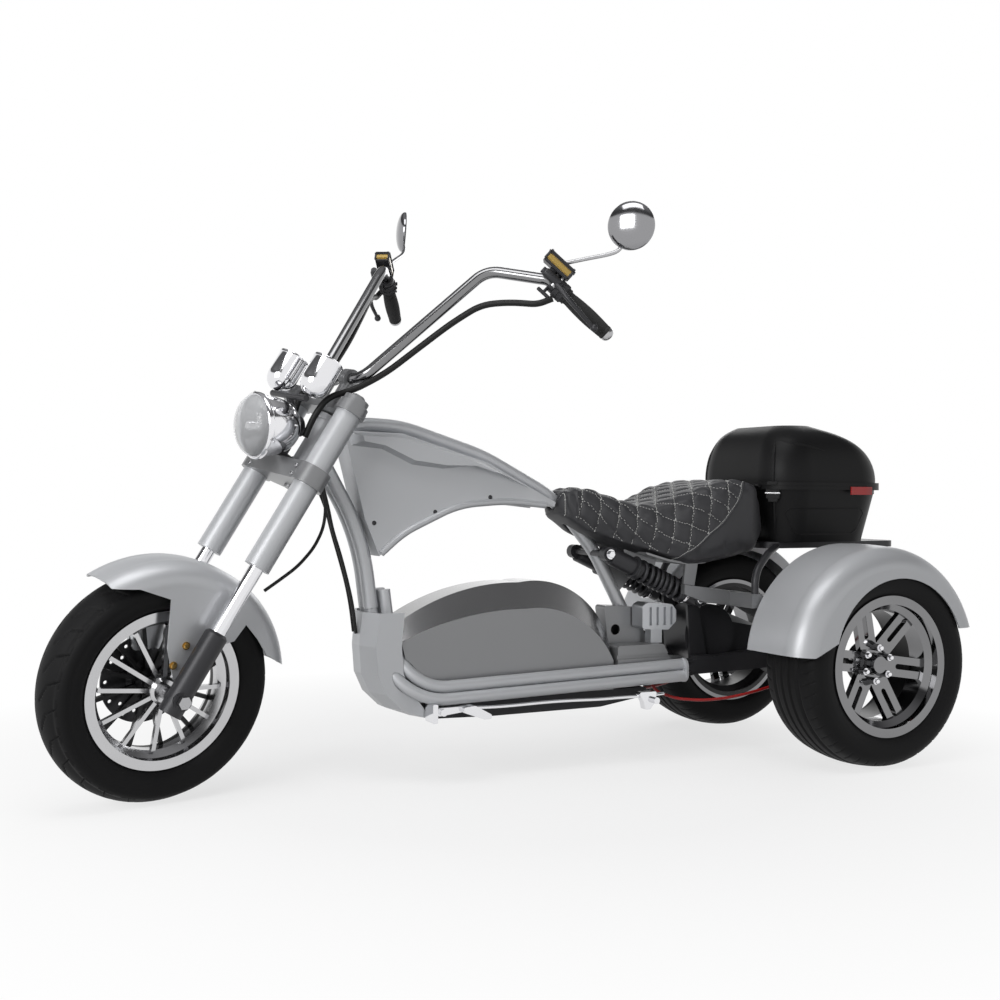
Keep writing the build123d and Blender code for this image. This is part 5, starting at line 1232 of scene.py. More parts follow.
@dataclass
class TopCase:
    """Ribs, panel lines, latches and clips of the hinged top case."""

    middle: float = -15.5
    corner: float = math.radians(41.0)

    def build(self, nodes: dict[str, bpy.types.Object]) -> None:
        """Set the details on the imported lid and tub.

        Args:
            nodes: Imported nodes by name.
        """
        lid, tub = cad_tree(nodes["case_lid"]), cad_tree(nodes["case_base"])
        lid_parts, tub_parts = [], []
        for turn in (self.corner, -self.corner):
            lid_parts.append(self.rib(lid, turn, 684.0, 792.0))
            tub_parts.append(self.rib(tub, turn, 640.0, 545.0))
            tub_parts += self.latch(tub, turn)
            lid_parts.append(self.plate(lid, turn, (674.0, 683.0), 26.0, 4.0))
            lid_parts.append(self.crease(lid, turn))
            tub_parts.append(self.panel(tub, 1.0 if turn > 0.0 else -1.0))
            tub_parts.append(self.plate(tub, math.pi - turn * 0.93, (652.0, 668.0), 20.0, 5.0))
        finished(joined("lid_ribs", lid_parts), Rides.LID, "black_plastic")
        finished(joined("tub_ribs", tub_parts), Rides.CHASSIS, "black_plastic")

    def skin(self, tree: BVHTree, turn: float, up: float, raised: float = 0.0) -> Vector:
        """Point on the case's outside at a direction from its middle and a height, raised by millimetres."""
        aim = Vector((math.cos(turn), math.sin(turn), 0.0))
        start = at(self.middle, 0.0, up) + aim * 0.5
        hit = tree.ray_cast(start, -aim)[0] or start - aim * 0.35
        return hit + aim * (raised / 1000.0)

    def rib(self, tree: BVHTree, turn: float, low: float, high: float) -> bpy.types.Object:
        """Upright rounded rib that fades out at its end."""
        path = [self.skin(tree, turn, low + (high - low) * k / 24.0, -1.6) for k in range(25)]
        return tube("rib", path, 5.2, CASE_PLASTIC, 14, lambda t: 1.0 - 0.75 * max(0.0, t - 0.6) / 0.4)

    def crease(self, tree: BVHTree, turn: float) -> bpy.types.Object:
        """Soft fold that runs back and down from a rib's top."""
        path = []
        for k in range(25):
            share = k / 24.0
            path.append(self.skin(tree, turn * (1.0 + 1.15 * share), 788.0 - 34.0 * share, -1.5))
        return tube("crease", path, 3.6, CASE_PLASTIC, 12, lambda t: math.sin(math.pi * min(1.0, 0.12 + t * 0.88)))

    def plate(self, tree: BVHTree, turn: float, span: tuple[float, float], wide: float,
              proud: float) -> bpy.types.Object:
        """Bevelled block on the skin between two heights."""
        foot = self.skin(tree, turn, sum(span) / 2.0, -2.0)
        aim = Vector((math.cos(turn), math.sin(turn), 0.0))
        side = Vector((-aim.y, aim.x, 0.0)) * (wide / 2000.0)
        tall = Vector((0.0, 0.0, (span[1] - span[0]) / 2000.0))
        corners = [foot - side - tall, foot + side - tall, foot + side + tall, foot - side + tall]
        return slab("plate", corners, aim * ((proud + 2.0) / 1000.0), CASE_PLASTIC, 0.0016)

    def latch(self, tree: BVHTree, turn: float) -> list[bpy.types.Object]:
        """Hook plate of a latch with its pin, under the lid's lip."""
        made = [self.plate(tree, turn, (640.0, 668.0), 34.0, 10.0), self.plate(tree, turn, (632.0, 642.0), 24.0, 13.0)]
        foot = self.skin(tree, turn, 654.0, 11.0)
        side = Vector((-math.sin(turn), math.cos(turn), 0.0)) * 0.019
        made.append(bar("latch_pin", foot - side, foot + side, 2.6, STEEL, 12))
        return made

    def panel(self, tree: BVHTree, sign: float) -> bpy.types.Object:
        """Rounded bead around the raised panel of a side."""
        corners = [(118.0, 606.0), (112.0, 616.0), (-104.0, 616.0), (-116.0, 604.0), (-96.0, 560.0), (-84.0, 552.0),
                   (82.0, 552.0), (96.0, 560.0), (118.0, 606.0)]
        path = []
        for (x0, z0), (x1, z1) in zip(corners, corners[1:]):
            for k in range(10):
                x, z = x0 + (x1 - x0) * k / 10.0, z0 + (z1 - z0) * k / 10.0
                start = at(x, sign * 320.0, z)
                hit = tree.ray_cast(start, Vector((0.0, -sign, 0.0)))[0] or start
                path.append(hit - Vector((0.0, sign * 0.0004, 0.0)))
        return tube("panel_bead", path, 1.7, CASE_PLASTIC, 8, loop=True)


def cover_screws(nodes: dict[str, bpy.types.Object]) -> bpy.types.Object:
    """Black button screws on both sides of the tank cover."""
    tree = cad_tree(nodes["tank_cover"])
    spots = []
    for x, z in ((1165.0, 582.0), (1018.0, 606.0), (760.0, 560.0), (880.0, 640.0)):
        for sign in (1.0, -1.0):
            hit, normal, _, _ = tree.ray_cast(at(x, sign * 420.0, z), Vector((0.0, -sign, 0.0)))
            if hit is not None:
                spots.append((hit, normal if normal.y * sign > 0.0 else -normal))
    screws = repeated("tank_screws", fastener(Head.DOME, 5.2, 2.6, BLACK_PAINT), spots, BLACK_PAINT, seed=9)
    return finished(screws, Rides.CHASSIS, "black_paint")


# Front end


def finished(piece: bpy.types.Object, rides: Rides, slot: str, *replaces: str) -> bpy.types.Object:
    """Hand a piece over: hide the imported nodes it stands for and attach it to the body it moves with."""
    if replaces:
        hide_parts(*replaces)
    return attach(piece, rides.value)


@dataclass(frozen=True)
class Glass:
    """Clear cover that shows what lies behind it.

    Attributes:
        name: Name of the material.
        tint: Linear colour.
        rough: Roughness.
    """

    name: str
    tint: Point = (0.62, 0.63, 0.64)
    rough: float = 0.01

    def material(self) -> bpy.types.Material:
        """Return the material, made on first use."""
        found = bpy.data.materials.get(self.name)
        if found:
            return found
        made = bpy.data.materials.new(self.name)
        made.use_nodes = True
        nodes, links = made.node_tree.nodes, made.node_tree.links
        shader = nodes["Principled BSDF"]
        shader.inputs["Base Color"].default_value = (*self.tint, 1.0)
        shader.inputs["Transmission Weight"].default_value = 1.0
        shader.inputs["IOR"].default_value = 1.28
        coords = nodes.new("ShaderNodeTexCoord").outputs["Object"]
        haze = nodes.new("ShaderNodeMapRange")
        haze.inputs["To Min"].default_value = self.rough
        haze.inputs["To Max"].default_value = self.rough + 0.05
        links.new(link_noise(nodes, links, coords, 30.0), haze.inputs["Value"])
        links.new(haze.outputs["Result"], shader.inputs["Roughness"])
        return made


LAMP_GLASS = Glass("lamp_glass")


@dataclass
class Headlamp:
    """Round lamp: chromed shell with its rim, faceted reflector, bulb shade and fluted glass."""

    centre: Point = (1436.0, 0.0, 793.0)
    radius: float = 68.0
    depth: float = 92.0
    bulge: float = 40.0
    flutes: int = 22

    def build(self) -> None:
        """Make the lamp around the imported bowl."""
        centre = steered(*self.centre)
        ahead = (steered(self.centre[0] + 100.0, 0.0, self.centre[2]) - centre).normalized()
        shell = turned("lamp_shell", self.shell_profile(), centre, ahead, CHROME, 96, True)
        rim = turned("lamp_rim", [(64.5, -3.0), (71.0, -6.0), (72.4, -1.0), (71.6, 4.0), (68.6, 6.6), (65.4, 5.4),
                                  (64.2, 1.0)], centre, ahead, CHROME, 96, True)
        hood = joined("lamp_body", [shell, rim])
        finished(hood, Rides.STEERING, "chrome", "headlamp_bowl")
        finished(self.reflector(centre, ahead), Rides.STEERING, "chrome")
        finished(self.lens(centre, ahead), Rides.STEERING, "lamp_glass", "headlamp_glass")
        bulb = turned("lamp_bulb", [(0.0, 24.0), (8.0, 22.0), (11.0, 16.0), (11.0, 2.0), (14.0, -2.0),
                                    (14.0, -60.0), (0.0, -60.0)], centre, ahead, CHROME, 32)
        finished(bulb, Rides.STEERING, "chrome")
        spots = []
        first, second = across_axis(ahead)
        for angle in (0.6, 2.7, 4.8):
            out = first * math.cos(angle) + second * math.sin(angle)
            spots.append((centre + (out * 71.6 - ahead * 1.0) / 1000.0, out))
        screws = repeated("lamp_rim_screws", fastener(Head.DOME, 3.6, 2.4, STEEL), spots, STEEL)
        finished(screws, Rides.STEERING, "steel")

    def shell_profile(self) -> list[tuple[float, float]]:
        """Outer and inner line of the bowl as radius and height."""
        outer = [(0.0, -self.depth), (29.0, -self.depth), (31.0, -self.depth + 1.5), (41.0, -84.0), (50.0, -74.0),
                 (57.5, -60.0), (62.5, -42.0), (66.0, -22.0), (67.8, -6.0), (67.8, 0.0)]
        inner = [(65.0, 0.0), (65.0, -6.0), (60.0, -42.0), (48.0, -71.0), (29.0, -88.0), (0.0, -89.0)]
        return outer + inner

    def reflector(self, centre: Vector, ahead: Vector) -> bpy.types.Object:
        """Cup with flat facets behind the glass, coloured dark as painted shade inside the bowl."""
        profile = [(12.0, -70.0), (26.0, -60.0), (40.0, -42.0), (52.0, -20.0), (62.0, -2.0)]
        cup = turned("lamp_reflector", [*profile, (64.0, -1.0), (28.0, -63.0), (12.0, -72.0)], centre, ahead,
                     SHADED_LAMP_CUP, 28, True)
        cup.data.shade_flat()
        return cup

    def lens(self, centre: Vector, ahead: Vector) -> bpy.types.Object:
        """Domed glass fluted from top to bottom, in one closed wall."""
        first, second = across_axis(ahead)
        rings, around = 22, 132
        verts: list[Vector] = []
        for inner in (False, True):
            radius = self.radius - (3.5 if inner else 0.5)
            tall = self.bulge - (4.5 if inner else 0.6)
            for k in range(rings + 1):
                share = k / rings
                out = radius * math.sin(share * math.pi / 2)
                for n in range(around):
                    angle = 2 * math.pi * n / around
                    height = tall * math.cos(share * math.pi / 2) ** 0.92 + 0.6
                    if inner:
                        flute = math.cos(out * math.sin(angle) / self.radius * math.pi * self.flutes)
                        height += 0.8 * flute * (1.0 - share ** 6)
                    verts.append(centre + (ahead * height + (first * math.cos(angle) + second * math.sin(angle))
                                           * out) / 1000.0)
        faces = []
        shell = (rings + 1) * around
        for base in (0, shell):
            for k in range(rings):
                for n in range(around):
                    low = base + k * around
                    nxt = (n + 1) % around
                    faces.append([low + n, low + nxt, low + around + nxt, low + around + n])
        outer_rim, inner_rim = rings * around, shell + rings * around
        for n in range(around):
            nxt = (n + 1) % around
            faces.append([outer_rim + n, outer_rim + nxt, inner_rim + nxt, inner_rim + n])
        made = new_piece("lamp_lens", verts, faces, CHROME)
        work = bmesh.new()
        work.from_mesh(made.data)
        bmesh.ops.remove_doubles(work, verts=work.verts, dist=1e-5)
        bmesh.ops.recalc_face_normals(work, faces=work.faces)
        work.to_mesh(made.data)
        work.free()
        dress(made, LAMP_GLASS.material())
        return made


@dataclass
class Gauges:
    """Two chromed cups with a rolled rim, a pale dial with its ticks and needle."""

    up: float = 674.0
    ahead: float = 86.0
    side: float = 73.0
    radius: float = 34.0
    tall: float = 89.0

    def build(self) -> None:
        """Make both gauges."""
        cups, faces, ticks = [], [], []
        for sign in (-1.0, 1.0):
            foot = steered(*fork_point(self.up, self.ahead, sign * self.side))
            axis = (steered(*fork_point(self.up + 100.0, self.ahead, sign * self.side)) - foot).normalized()
            cups.append(turned("cup", self.cup_profile(), foot, axis, CHROME, 72, True))
            faces.append(turned("dial", [(28.6, 80.0), (28.6, 81.5), (0.0, 81.5)], foot, axis, DIAL_BLACK, 48))
            ticks += self.ticks(foot + axis * 0.0817, axis)
            ticks.append(turned("needle_hub", [(3.0, 81.5), (3.0, 84.0), (0.0, 84.6)], foot, axis, STEEL, 20))
        finished(joined("gauge_cups", cups), Rides.STEERING, "chrome", "gauge_pods")
        finished(joined("gauge_dials", faces), Rides.STEERING, "black_plastic")
        finished(joined("gauge_ticks", ticks), Rides.STEERING, "steel")

    def cup_profile(self) -> list[tuple[float, float]]:
        """Outer and inner line of a cup as radius and height."""
        outer = [(0.0, 0.4), (8.0, 0.4), (12.0, 1.4), (19.0, 5.0), (25.5, 11.0), (30.2, 19.0), (33.0, 28.0),
                 (33.6, 35.0), (33.6, 80.0)]
        rim = [(34.6, 82.5), (35.0, 85.0), (34.2, 88.0), (32.4, 89.0), (30.4, 88.4), (29.4, 86.0)]
        return [*outer, *rim, (29.0, 80.0), (0.0, 79.0)]

    def ticks(self, centre: Vector, axis: Vector) -> list[bpy.types.Object]:
        """Raised ticks around a dial and its needle."""
        first, second = across_axis(axis)
        made = []
        for k in range(25):
            angle = math.radians(-30.0 + 10.0 * k)
            out = first * math.cos(angle) + second * math.sin(angle)
            long = 5.4 if k % 4 == 0 else 3.0
            made.append(bar("tick", centre + out * (26.5 - long) / 1000.0, centre + out * 0.0265, 0.55, THREAD))
        aim = first * math.cos(0.5) + second * math.sin(0.5)
        made.append(bar("needle", centre - aim * 0.004 + axis * 0.0014, centre + aim * 0.020 + axis * 0.0014, 0.7,
                        RED_RUBBER))
        return made




def bar(name: str, start: Vector, end: Vector, radius: float, finish: Finish, sides: int = 6) -> bpy.types.Object:
    """Straight round bar with rounded ends, radius in millimetres."""
    length = (end - start).length * 1000.0
    soft = min(radius * 0.4, length * 0.2)
    return turned(name, [(0.0, 0.0), (radius - soft, 0.0), (radius, soft), (radius, length - soft),
                         (radius - soft, length), (0.0, length)], start, end - start, finish, sides)


@dataclass
class Bars:
    """What sits on the handlebar: grips, levers, reservoirs, switches and mirrors."""

    stem: Point = (926.0, 317.0, 1150.0)
    end: Point = (827.0, 406.0, 1046.0)
    mirror: Point = (804.0, 430.0, 1277.0)
    mirror_r: float = 52.0
    mirror_yaw: float = math.radians(30.0)
    boss: tuple[Point, Point] = ((920.0, 321.5, 1167.0), (915.0, 324.0, 1180.0))
    stem_line: tuple[Point, ...] = ((920.0, 321.5, 1168.0), (916.0, 324.0, 1179.0), (906.0, 331.0, 1185.5),
                                    (868.0, 362.0, 1200.0), (830.0, 394.0, 1214.0), (815.0, 408.0, 1224.0),
                                    (809.0, 417.0, 1240.0))

    def place(self, share: float, sign: float) -> Vector:
        """Point along the grip run, from the mirror stem to the bar end."""
        x, y, z = (a + (b - a) * share for a, b in zip(self.stem, self.end))
        return steered(x, sign * y, z)

    def build(self) -> None:
        """Make everything on both sides."""
        grips, ends, black, bright, mirrors, tanks = [], [], [], [], [], []
        for sign in (1.0, -1.0):
            along = (self.place(1.0, sign) - self.place(0.0, sign)).normalized()
            grips.append(self.grip(sign, along))
            ends += self.grip_ends(sign, along)
            black += [*self.switches(sign, along), *self.housing(sign, along), *self.lever(sign, along)]
            bright += self.clamp_screws(sign, along)
            tanks += self.reservoir(sign, along)
            mirrors += self.mirror_pieces(sign)
        finished(joined("bar_grips", grips), Rides.STEERING, "grip_rubber", "grips")
        finished(joined("bar_grip_ends", ends), Rides.STEERING, "chrome")
        finished(joined("bar_switchgear", black), Rides.STEERING, "black_plastic", "bar_controls")
        finished(joined("bar_small_metal", bright), Rides.STEERING, "steel")
        finished(joined("fluid_tanks", tanks), Rides.STEERING, "black_plastic")
        finished(joined("round_mirrors", mirrors), Rides.STEERING, "chrome", "mirrors")

    def grip(self, sign: float, along: Vector) -> bpy.types.Object:
        """Smooth barrel-shaped rubber sleeve with a flange and two shallow rings."""
        start = self.place(0.30, sign)
        length = (self.place(1.0, sign) - start).length * 1000.0
        profile = [(12.9, 0.0), (17.4, 0.0), (18.5, 1.2), (18.5, 4.4), (16.0, 6.0), (15.4, 10.0), (15.9, 13.0),
                   (15.3, 14.2), (15.9, 15.4)]
        profile += [(16.0 + 2.2 * math.sin(math.pi * k / 14.0), 16.0 + (length - 26.0) * k / 14.0)
                    for k in range(1, 14)]
        profile += [(16.1, length - 9.0), (15.5, length - 7.6), (16.1, length - 6.2), (16.1, length - 1.0),
                    (15.2, length), (12.9, length)]
        return turned("grip", profile, start, along, GRIP_RUBBER, 48, True)

    def grip_ends(self, sign: float, along: Vector) -> list[bpy.types.Object]:
        """Bright domed bar end and the collar at the inner end."""
        tip = self.place(1.0, sign)
        root = self.place(0.30, sign)
        dome = [(15.6 * math.cos(a), 3.0 + 11.5 * math.sin(a)) for a in (k * math.pi / 20.0 for k in range(10))]
        weight = turned("bar_end", [(0.0, 0.2), (14.8, 0.2), (15.6, 1.0), *dome, (0.0, 14.5)], tip, along, STEEL, 40)
        collar = turned("collar", [(12.9, -4.5), (18.4, -4.5), (19.0, -3.6), (19.0, -1.2), (18.4, -0.3),
                                   (12.9, -0.3)], root, along, BLACK_PLASTIC, 36, True)
        return [weight, collar]

    def housing(self, sign: float, along: Vector) -> list[bpy.types.Object]:
        """Switch housing in two shells, the perch clamp, the mirror's boss and a small paddle under it."""
        shell = [(13.2, -1.0), (20.0, -1.0), (21.8, 0.6), (22.0, 10.6), (21.0, 11.4), (21.0, 12.4), (22.0, 13.2),
                 (21.8, 22.6), (20.2, 24.4), (13.2, 24.4)]
        clamp = [(13.2, 0.0), (18.0, 0.0), (19.0, 1.2), (19.0, 13.4), (18.0, 14.6), (13.2, 14.6)]
        made = [turned("shell", shell, self.place(0.14, sign), along, BLACK_PLASTIC, 48, True),
                turned("clamp", clamp, self.place(0.05, sign), along, BLACK_PAINT, 40, True)]
        foot = steered(self.boss[0][0], sign * self.boss[0][1], self.boss[0][2])
        aim = steered(self.boss[1][0], sign * self.boss[1][1], self.boss[1][2]) - foot
        boss = [(0.0, -6.0), (9.4, -6.0), (9.8, -4.0), (9.8, 5.0), (8.4, 6.2), (8.4, 13.0), (7.0, 15.0), (4.9, 15.4),
                (0.0, 15.4)]
        made.append(turned("mirror_boss", boss, foot, aim, BLACK_PLASTIC, 28))
        centre, up, ahead = self.frame_at(0.06, sign, along)
        low = centre - up * 0.030 + ahead * 0.010
        made.append(bar("paddle_stem", centre - up * 0.012 + ahead * 0.006, low, 3.6, BLACK_PAINT, 14))
        made.append(bar("paddle", low - along * 0.016, low + along * 0.016, 4.2, BLACK_PLASTIC, 16))
        cylinder = centre + ahead * 0.026 - along * 0.034 + up * 0.004
        made.append(turned("master_cylinder", [(0.0, 0.0), (7.0, 0.0), (7.6, 1.0), (7.6, 6.0), (9.6, 8.0), (10.2, 10.0),
                                               (10.2, 46.0), (9.2, 48.0), (6.4, 49.0), (6.0, 54.0), (0.0, 54.0)],
                           cylinder, along, BLACK_PAINT, 32))
        made.append(bar("perch_arm", centre + ahead * 0.012, cylinder + along * 0.032, 8.4, BLACK_PAINT, 20))
        return made

    def lever(self, sign: float, along: Vector) -> list[bpy.types.Object]:
        """Brake lever ahead of the grip, flattening towards its ringed ball."""
        centre, up, ahead = self.frame_at(0.06, sign, along)
        root = centre + ahead * 0.026 + along * 0.006
        steps = ((0.0, 0.0, 0.0), (12.0, 20.0, -4.0), (21.0, 44.0, -9.0), (23.0, 78.0, -13.0), (17.0, 112.0, -16.0),
                 (15.0, 126.0, -16.0))
        path = [root + ahead * (f / 1000.0) + along * (a / 1000.0) + up * (u / 1000.0) for f, a, u in steps]
        blade = tube("lever_blade", smooth_path(path), 6.4, BLACK_PAINT, 16, lambda t: 1.0 - 0.34 * t)
        ball = [(8.4 * math.sin(a), -8.4 * math.cos(a)) for a in (k * math.pi / 12.0 for k in range(1, 12))]
        tip = turned("lever_ball", [(0.0, -8.4), *ball, (0.0, 8.4)], path[-1], up, BLACK_PAINT, 24)
        ring = turned("lever_ring", [(3.4, 7.0), (5.0, 7.0), (5.0, 8.6), (3.4, 8.6)], path[-1], up, DARK_STEEL, 20,
                      True)
        pivot = turned("lever_pivot", [(0.0, -10.0), (6.0, -10.0), (6.6, -9.0), (6.6, 9.0), (6.0, 10.0), (0.0, 10.0)],
                       root, up, STEEL, 24)
        return [blade, tip, ring, pivot]

    def reservoir(self, sign: float, along: Vector) -> list[bpy.types.Object]:
        """Fluid tank: yellow body in a black frame under a bevelled lid."""
        centre, up, ahead = self.frame_at(0.06, sign, along)
        middle = centre + ahead * 0.006 - along * 0.014

        def plate(low: float, tall: float, long: float, wide: float, finish: Finish, bevel: float) -> bpy.types.Object:
            """Rounded block around the tank's middle line, sizes in millimetres."""
            foot = middle + up * (low / 1000.0)
            corners = [foot + along * (a * long / 2000.0) - ahead * (b * wide / 2000.0)
                       for a, b in ((-1, -1), (1, -1), (1, 1), (-1, 1))]
            return slab("tank_block", corners, up * (tall / 1000.0), finish, bevel)

        made = [plate(22.0, 7.0, 66.0, 34.0, BLACK_PAINT, 0.002), plate(28.0, 15.5, 68.0, 36.0, WINDOW, 0.003),
                plate(43.0, 7.2, 74.0, 40.0, BLACK_PAINT, 0.0028)]
        for a in (-1, 1):
            for b in (-1, 1):
                foot = middle + along * (a * 0.0325) - ahead * (b * 0.0165)
                made.append(bar("tank_post", foot + up * 0.026, foot + up * 0.045, 3.0, BLACK_PAINT, 12))
        made.append(bar("tank_neck", centre + up * 0.012 + along * 0.004, centre + up * 0.025 - along * 0.004, 8.0,
                        BLACK_PAINT, 20))
        return made

    def frame_at(self, share: float, sign: float, along: Vector) -> tuple[Vector, Vector, Vector]:
        """Centre, up and ahead at a point of the grip run."""
        across = along.cross(Vector((0, 0, 1))).normalized()
        up = across.cross(along)
        ahead = along.cross(up) * sign
        return self.place(share, sign), up.normalized(), ahead.normalized()

    def switches(self, sign: float, along: Vector) -> list[bpy.types.Object]:
        """Rocker, push and slide switches on the rider's side of a housing."""
        centre, up, ahead = self.frame_at(0.14, sign, along)
        made = []
        for k, (lift, size) in enumerate(((6.0, 4.6), (-5.0, 3.6), (-14.0, 3.0))):
            foot = centre + along * (0.010 + 0.003 * k) - ahead * 0.0205 + up * (lift / 1000.0)
            made.append(bar("switch", foot, foot - ahead * 0.0045, size, BLACK_PLASTIC, 20))
        return made

    def clamp_screws(self, sign: float, along: Vector) -> list[bpy.types.Object]:
        """Screws of a fluid tank's lid."""
        centre, up, ahead = self.frame_at(0.06, sign, along)
        top = centre + up * 0.0502 + ahead * 0.006 - along * 0.014
        made = []
        for run in (-0.031, 0.031):
            for side in (-0.013, 0.013):
                foot = top + along * run - ahead * side
                made.append(turned("cover_screw", [(3.2, 0.0), (3.2, 1.0), (2.4, 1.9), (1.2, 1.9), (1.0, 1.0),
                                                   (0.0, 1.0)], foot, up, STEEL, 14))
        return made

    def mirror_pieces(self, sign: float) -> list[bpy.types.Object]:
        """Domed dark chrome back with its rim, the glass in its seal, and the bent stem."""
        centre = self.mirror_spot(sign, 0.0)
        aim = (self.mirror_spot(sign, 100.0) - centre).normalized()
        back = [(self.mirror_r * math.cos(a), -19.0 * math.sin(a)) for a in (k * math.pi / 24.0 for k in range(12))]
        shell = turned("mirror_back", [(0.0, 2.0), (self.mirror_r - 1.5, 2.0), (self.mirror_r, 0.6), *back,
                                       (0.0, -19.0)], centre, aim, MIRROR_BACK, 96)
        rim = turned("mirror_rim", [(49.6, 0.4), (self.mirror_r - 0.2, -0.6), (self.mirror_r, 1.2),
                                    (self.mirror_r - 0.8, 3.2), (49.6, 3.4)], centre, aim, BLACK_PAINT, 96, True)
        glass = turned("mirror_plate", [(48.8, 1.8), (48.8, 2.8), (42.0, 3.2), (0.0, 3.8)], centre, aim,
                       MIRROR_GLASS, 64)
        points = [steered(x, sign * y, z) for x, y, z in self.stem_line]
        points.append(centre - aim * 0.010 - Vector((0.0, 0.0, 0.016)))
        stem = tube("mirror_stem", smooth_path(points), 4.4, STEEL, 18)
        return [shell, rim, glass, stem]

    def mirror_spot(self, sign: float, ahead: float) -> Vector:
        """Point on a mirror's axis, so many millimetres in front of its middle."""
        x, y, z = self.mirror
        return steered(x - ahead * math.cos(self.mirror_yaw), sign * (y - ahead * math.sin(self.mirror_yaw)), z)


@dataclass
class Fasteners:
    """Bolts of the fender stays, clamps, disc, tank, rails and shocks."""

    def build(self) -> None:
        """Set every group of fasteners."""
        self.steering_bolts()
        self.chassis_bolts()

    def steering_bolts(self) -> None:
        """Fender stay bolts in brass tone, clamp pinch bolts and the disc's bolts."""
        left = steered(1600.0, 200.0, 300.0) - steered(1600.0, 0.0, 300.0)
        stays = []
        for x, z in ((1610.0, 347.0), (1636.0, 308.0)):
            for sign in (1.0, -1.0):
                stays.append((steered(x, sign * 80.2, z), left * sign))
        finished(repeated("fender_stay_bolts", fastener(Head.HEX, 6.4, 5.5, BRASS), stays, BRASS),
                 Rides.STEERING, "steel")
        pinch = []
        for sign in (1.0, -1.0):
            for up in (515.0, 535.0):
                spot = steered(*fork_point(up, 33.2, sign * 92.0))
                pinch.append((spot, steered(*fork_point(up, 100.0, sign * 92.0)) - spot))
            spot = steered(*fork_point(694.0, 20.2, sign * 92.0))
            pinch.append((spot, steered(*fork_point(694.0, 100.0, sign * 92.0)) - spot))
        finished(repeated("clamp_pinch_bolts", fastener(Head.SOCKET, 4.6, 4.5, STEEL), pinch, STEEL, seed=3),
                 Rides.STEERING, "steel")
        disc = []
        centre = steered(1636.0, 0.0, 246.0)
        for k in range(5):
            angle = 2 * math.pi * k / 5
            spot = steered(1636.0 + 27.0 * math.cos(angle), -66.0, 246.0 + 27.0 * math.sin(angle))
            disc.append((spot, -left))
        LOG.debug("disc bolts around %s", tuple(centre))
        finished(repeated("disc_bolts", fastener(Head.SOCKET, 4.4, 3.2, STEEL), disc, STEEL, seed=5),
                 Rides.FRONT_WHEEL, "steel")

    def chassis_bolts(self) -> None:
        """Screws of the tank cover and battery panel, and bolts of the shocks and crossmember."""
        out = Vector((0.0, 1.0, 0.0))
        big, small = [], []
        for sign in (1.0, -1.0):
            big.append((at(588.0, sign * 95.0, 506.0), out * sign))
            big.append((at(331.0, sign * 89.5, 389.0), out * sign))
            for x, z in ((600.0, 232.0), (760.0, 200.0), (1000.0, 200.0)):
                small.append((at(x, sign * 73.8, z), out * sign))
            for x, z in ((540.0, 232.0), (430.0, 226.0)):
                small.append((at(x, sign * 80.0, z), out * sign))
        finished(repeated("pivot_bolts", fastener(Head.HEX, 9.0, 8.0, CHROME), big, CHROME, seed=2),
                 Rides.CHASSIS, "chrome")
        finished(repeated("cover_screws", fastener(Head.DOME, 5.0, 3.0, STEEL), small, STEEL, seed=4),
                 Rides.CHASSIS, "steel")


@dataclass
class Details:
    """All dressed groups in order."""

    def build(self, nodes: dict[str, bpy.types.Object]) -> None:
        """Make every group.

        Args:
            nodes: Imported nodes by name.
        """
        Wheels().build(nodes)
        Shocks().build()
        Saddle().build(nodes["seat"])
        Headlamp().build()
        Gauges().build()
        Bars().build()
        Fasteners().build()
        TopCase().build(nodes)
        cover_screws(nodes)


# Studio


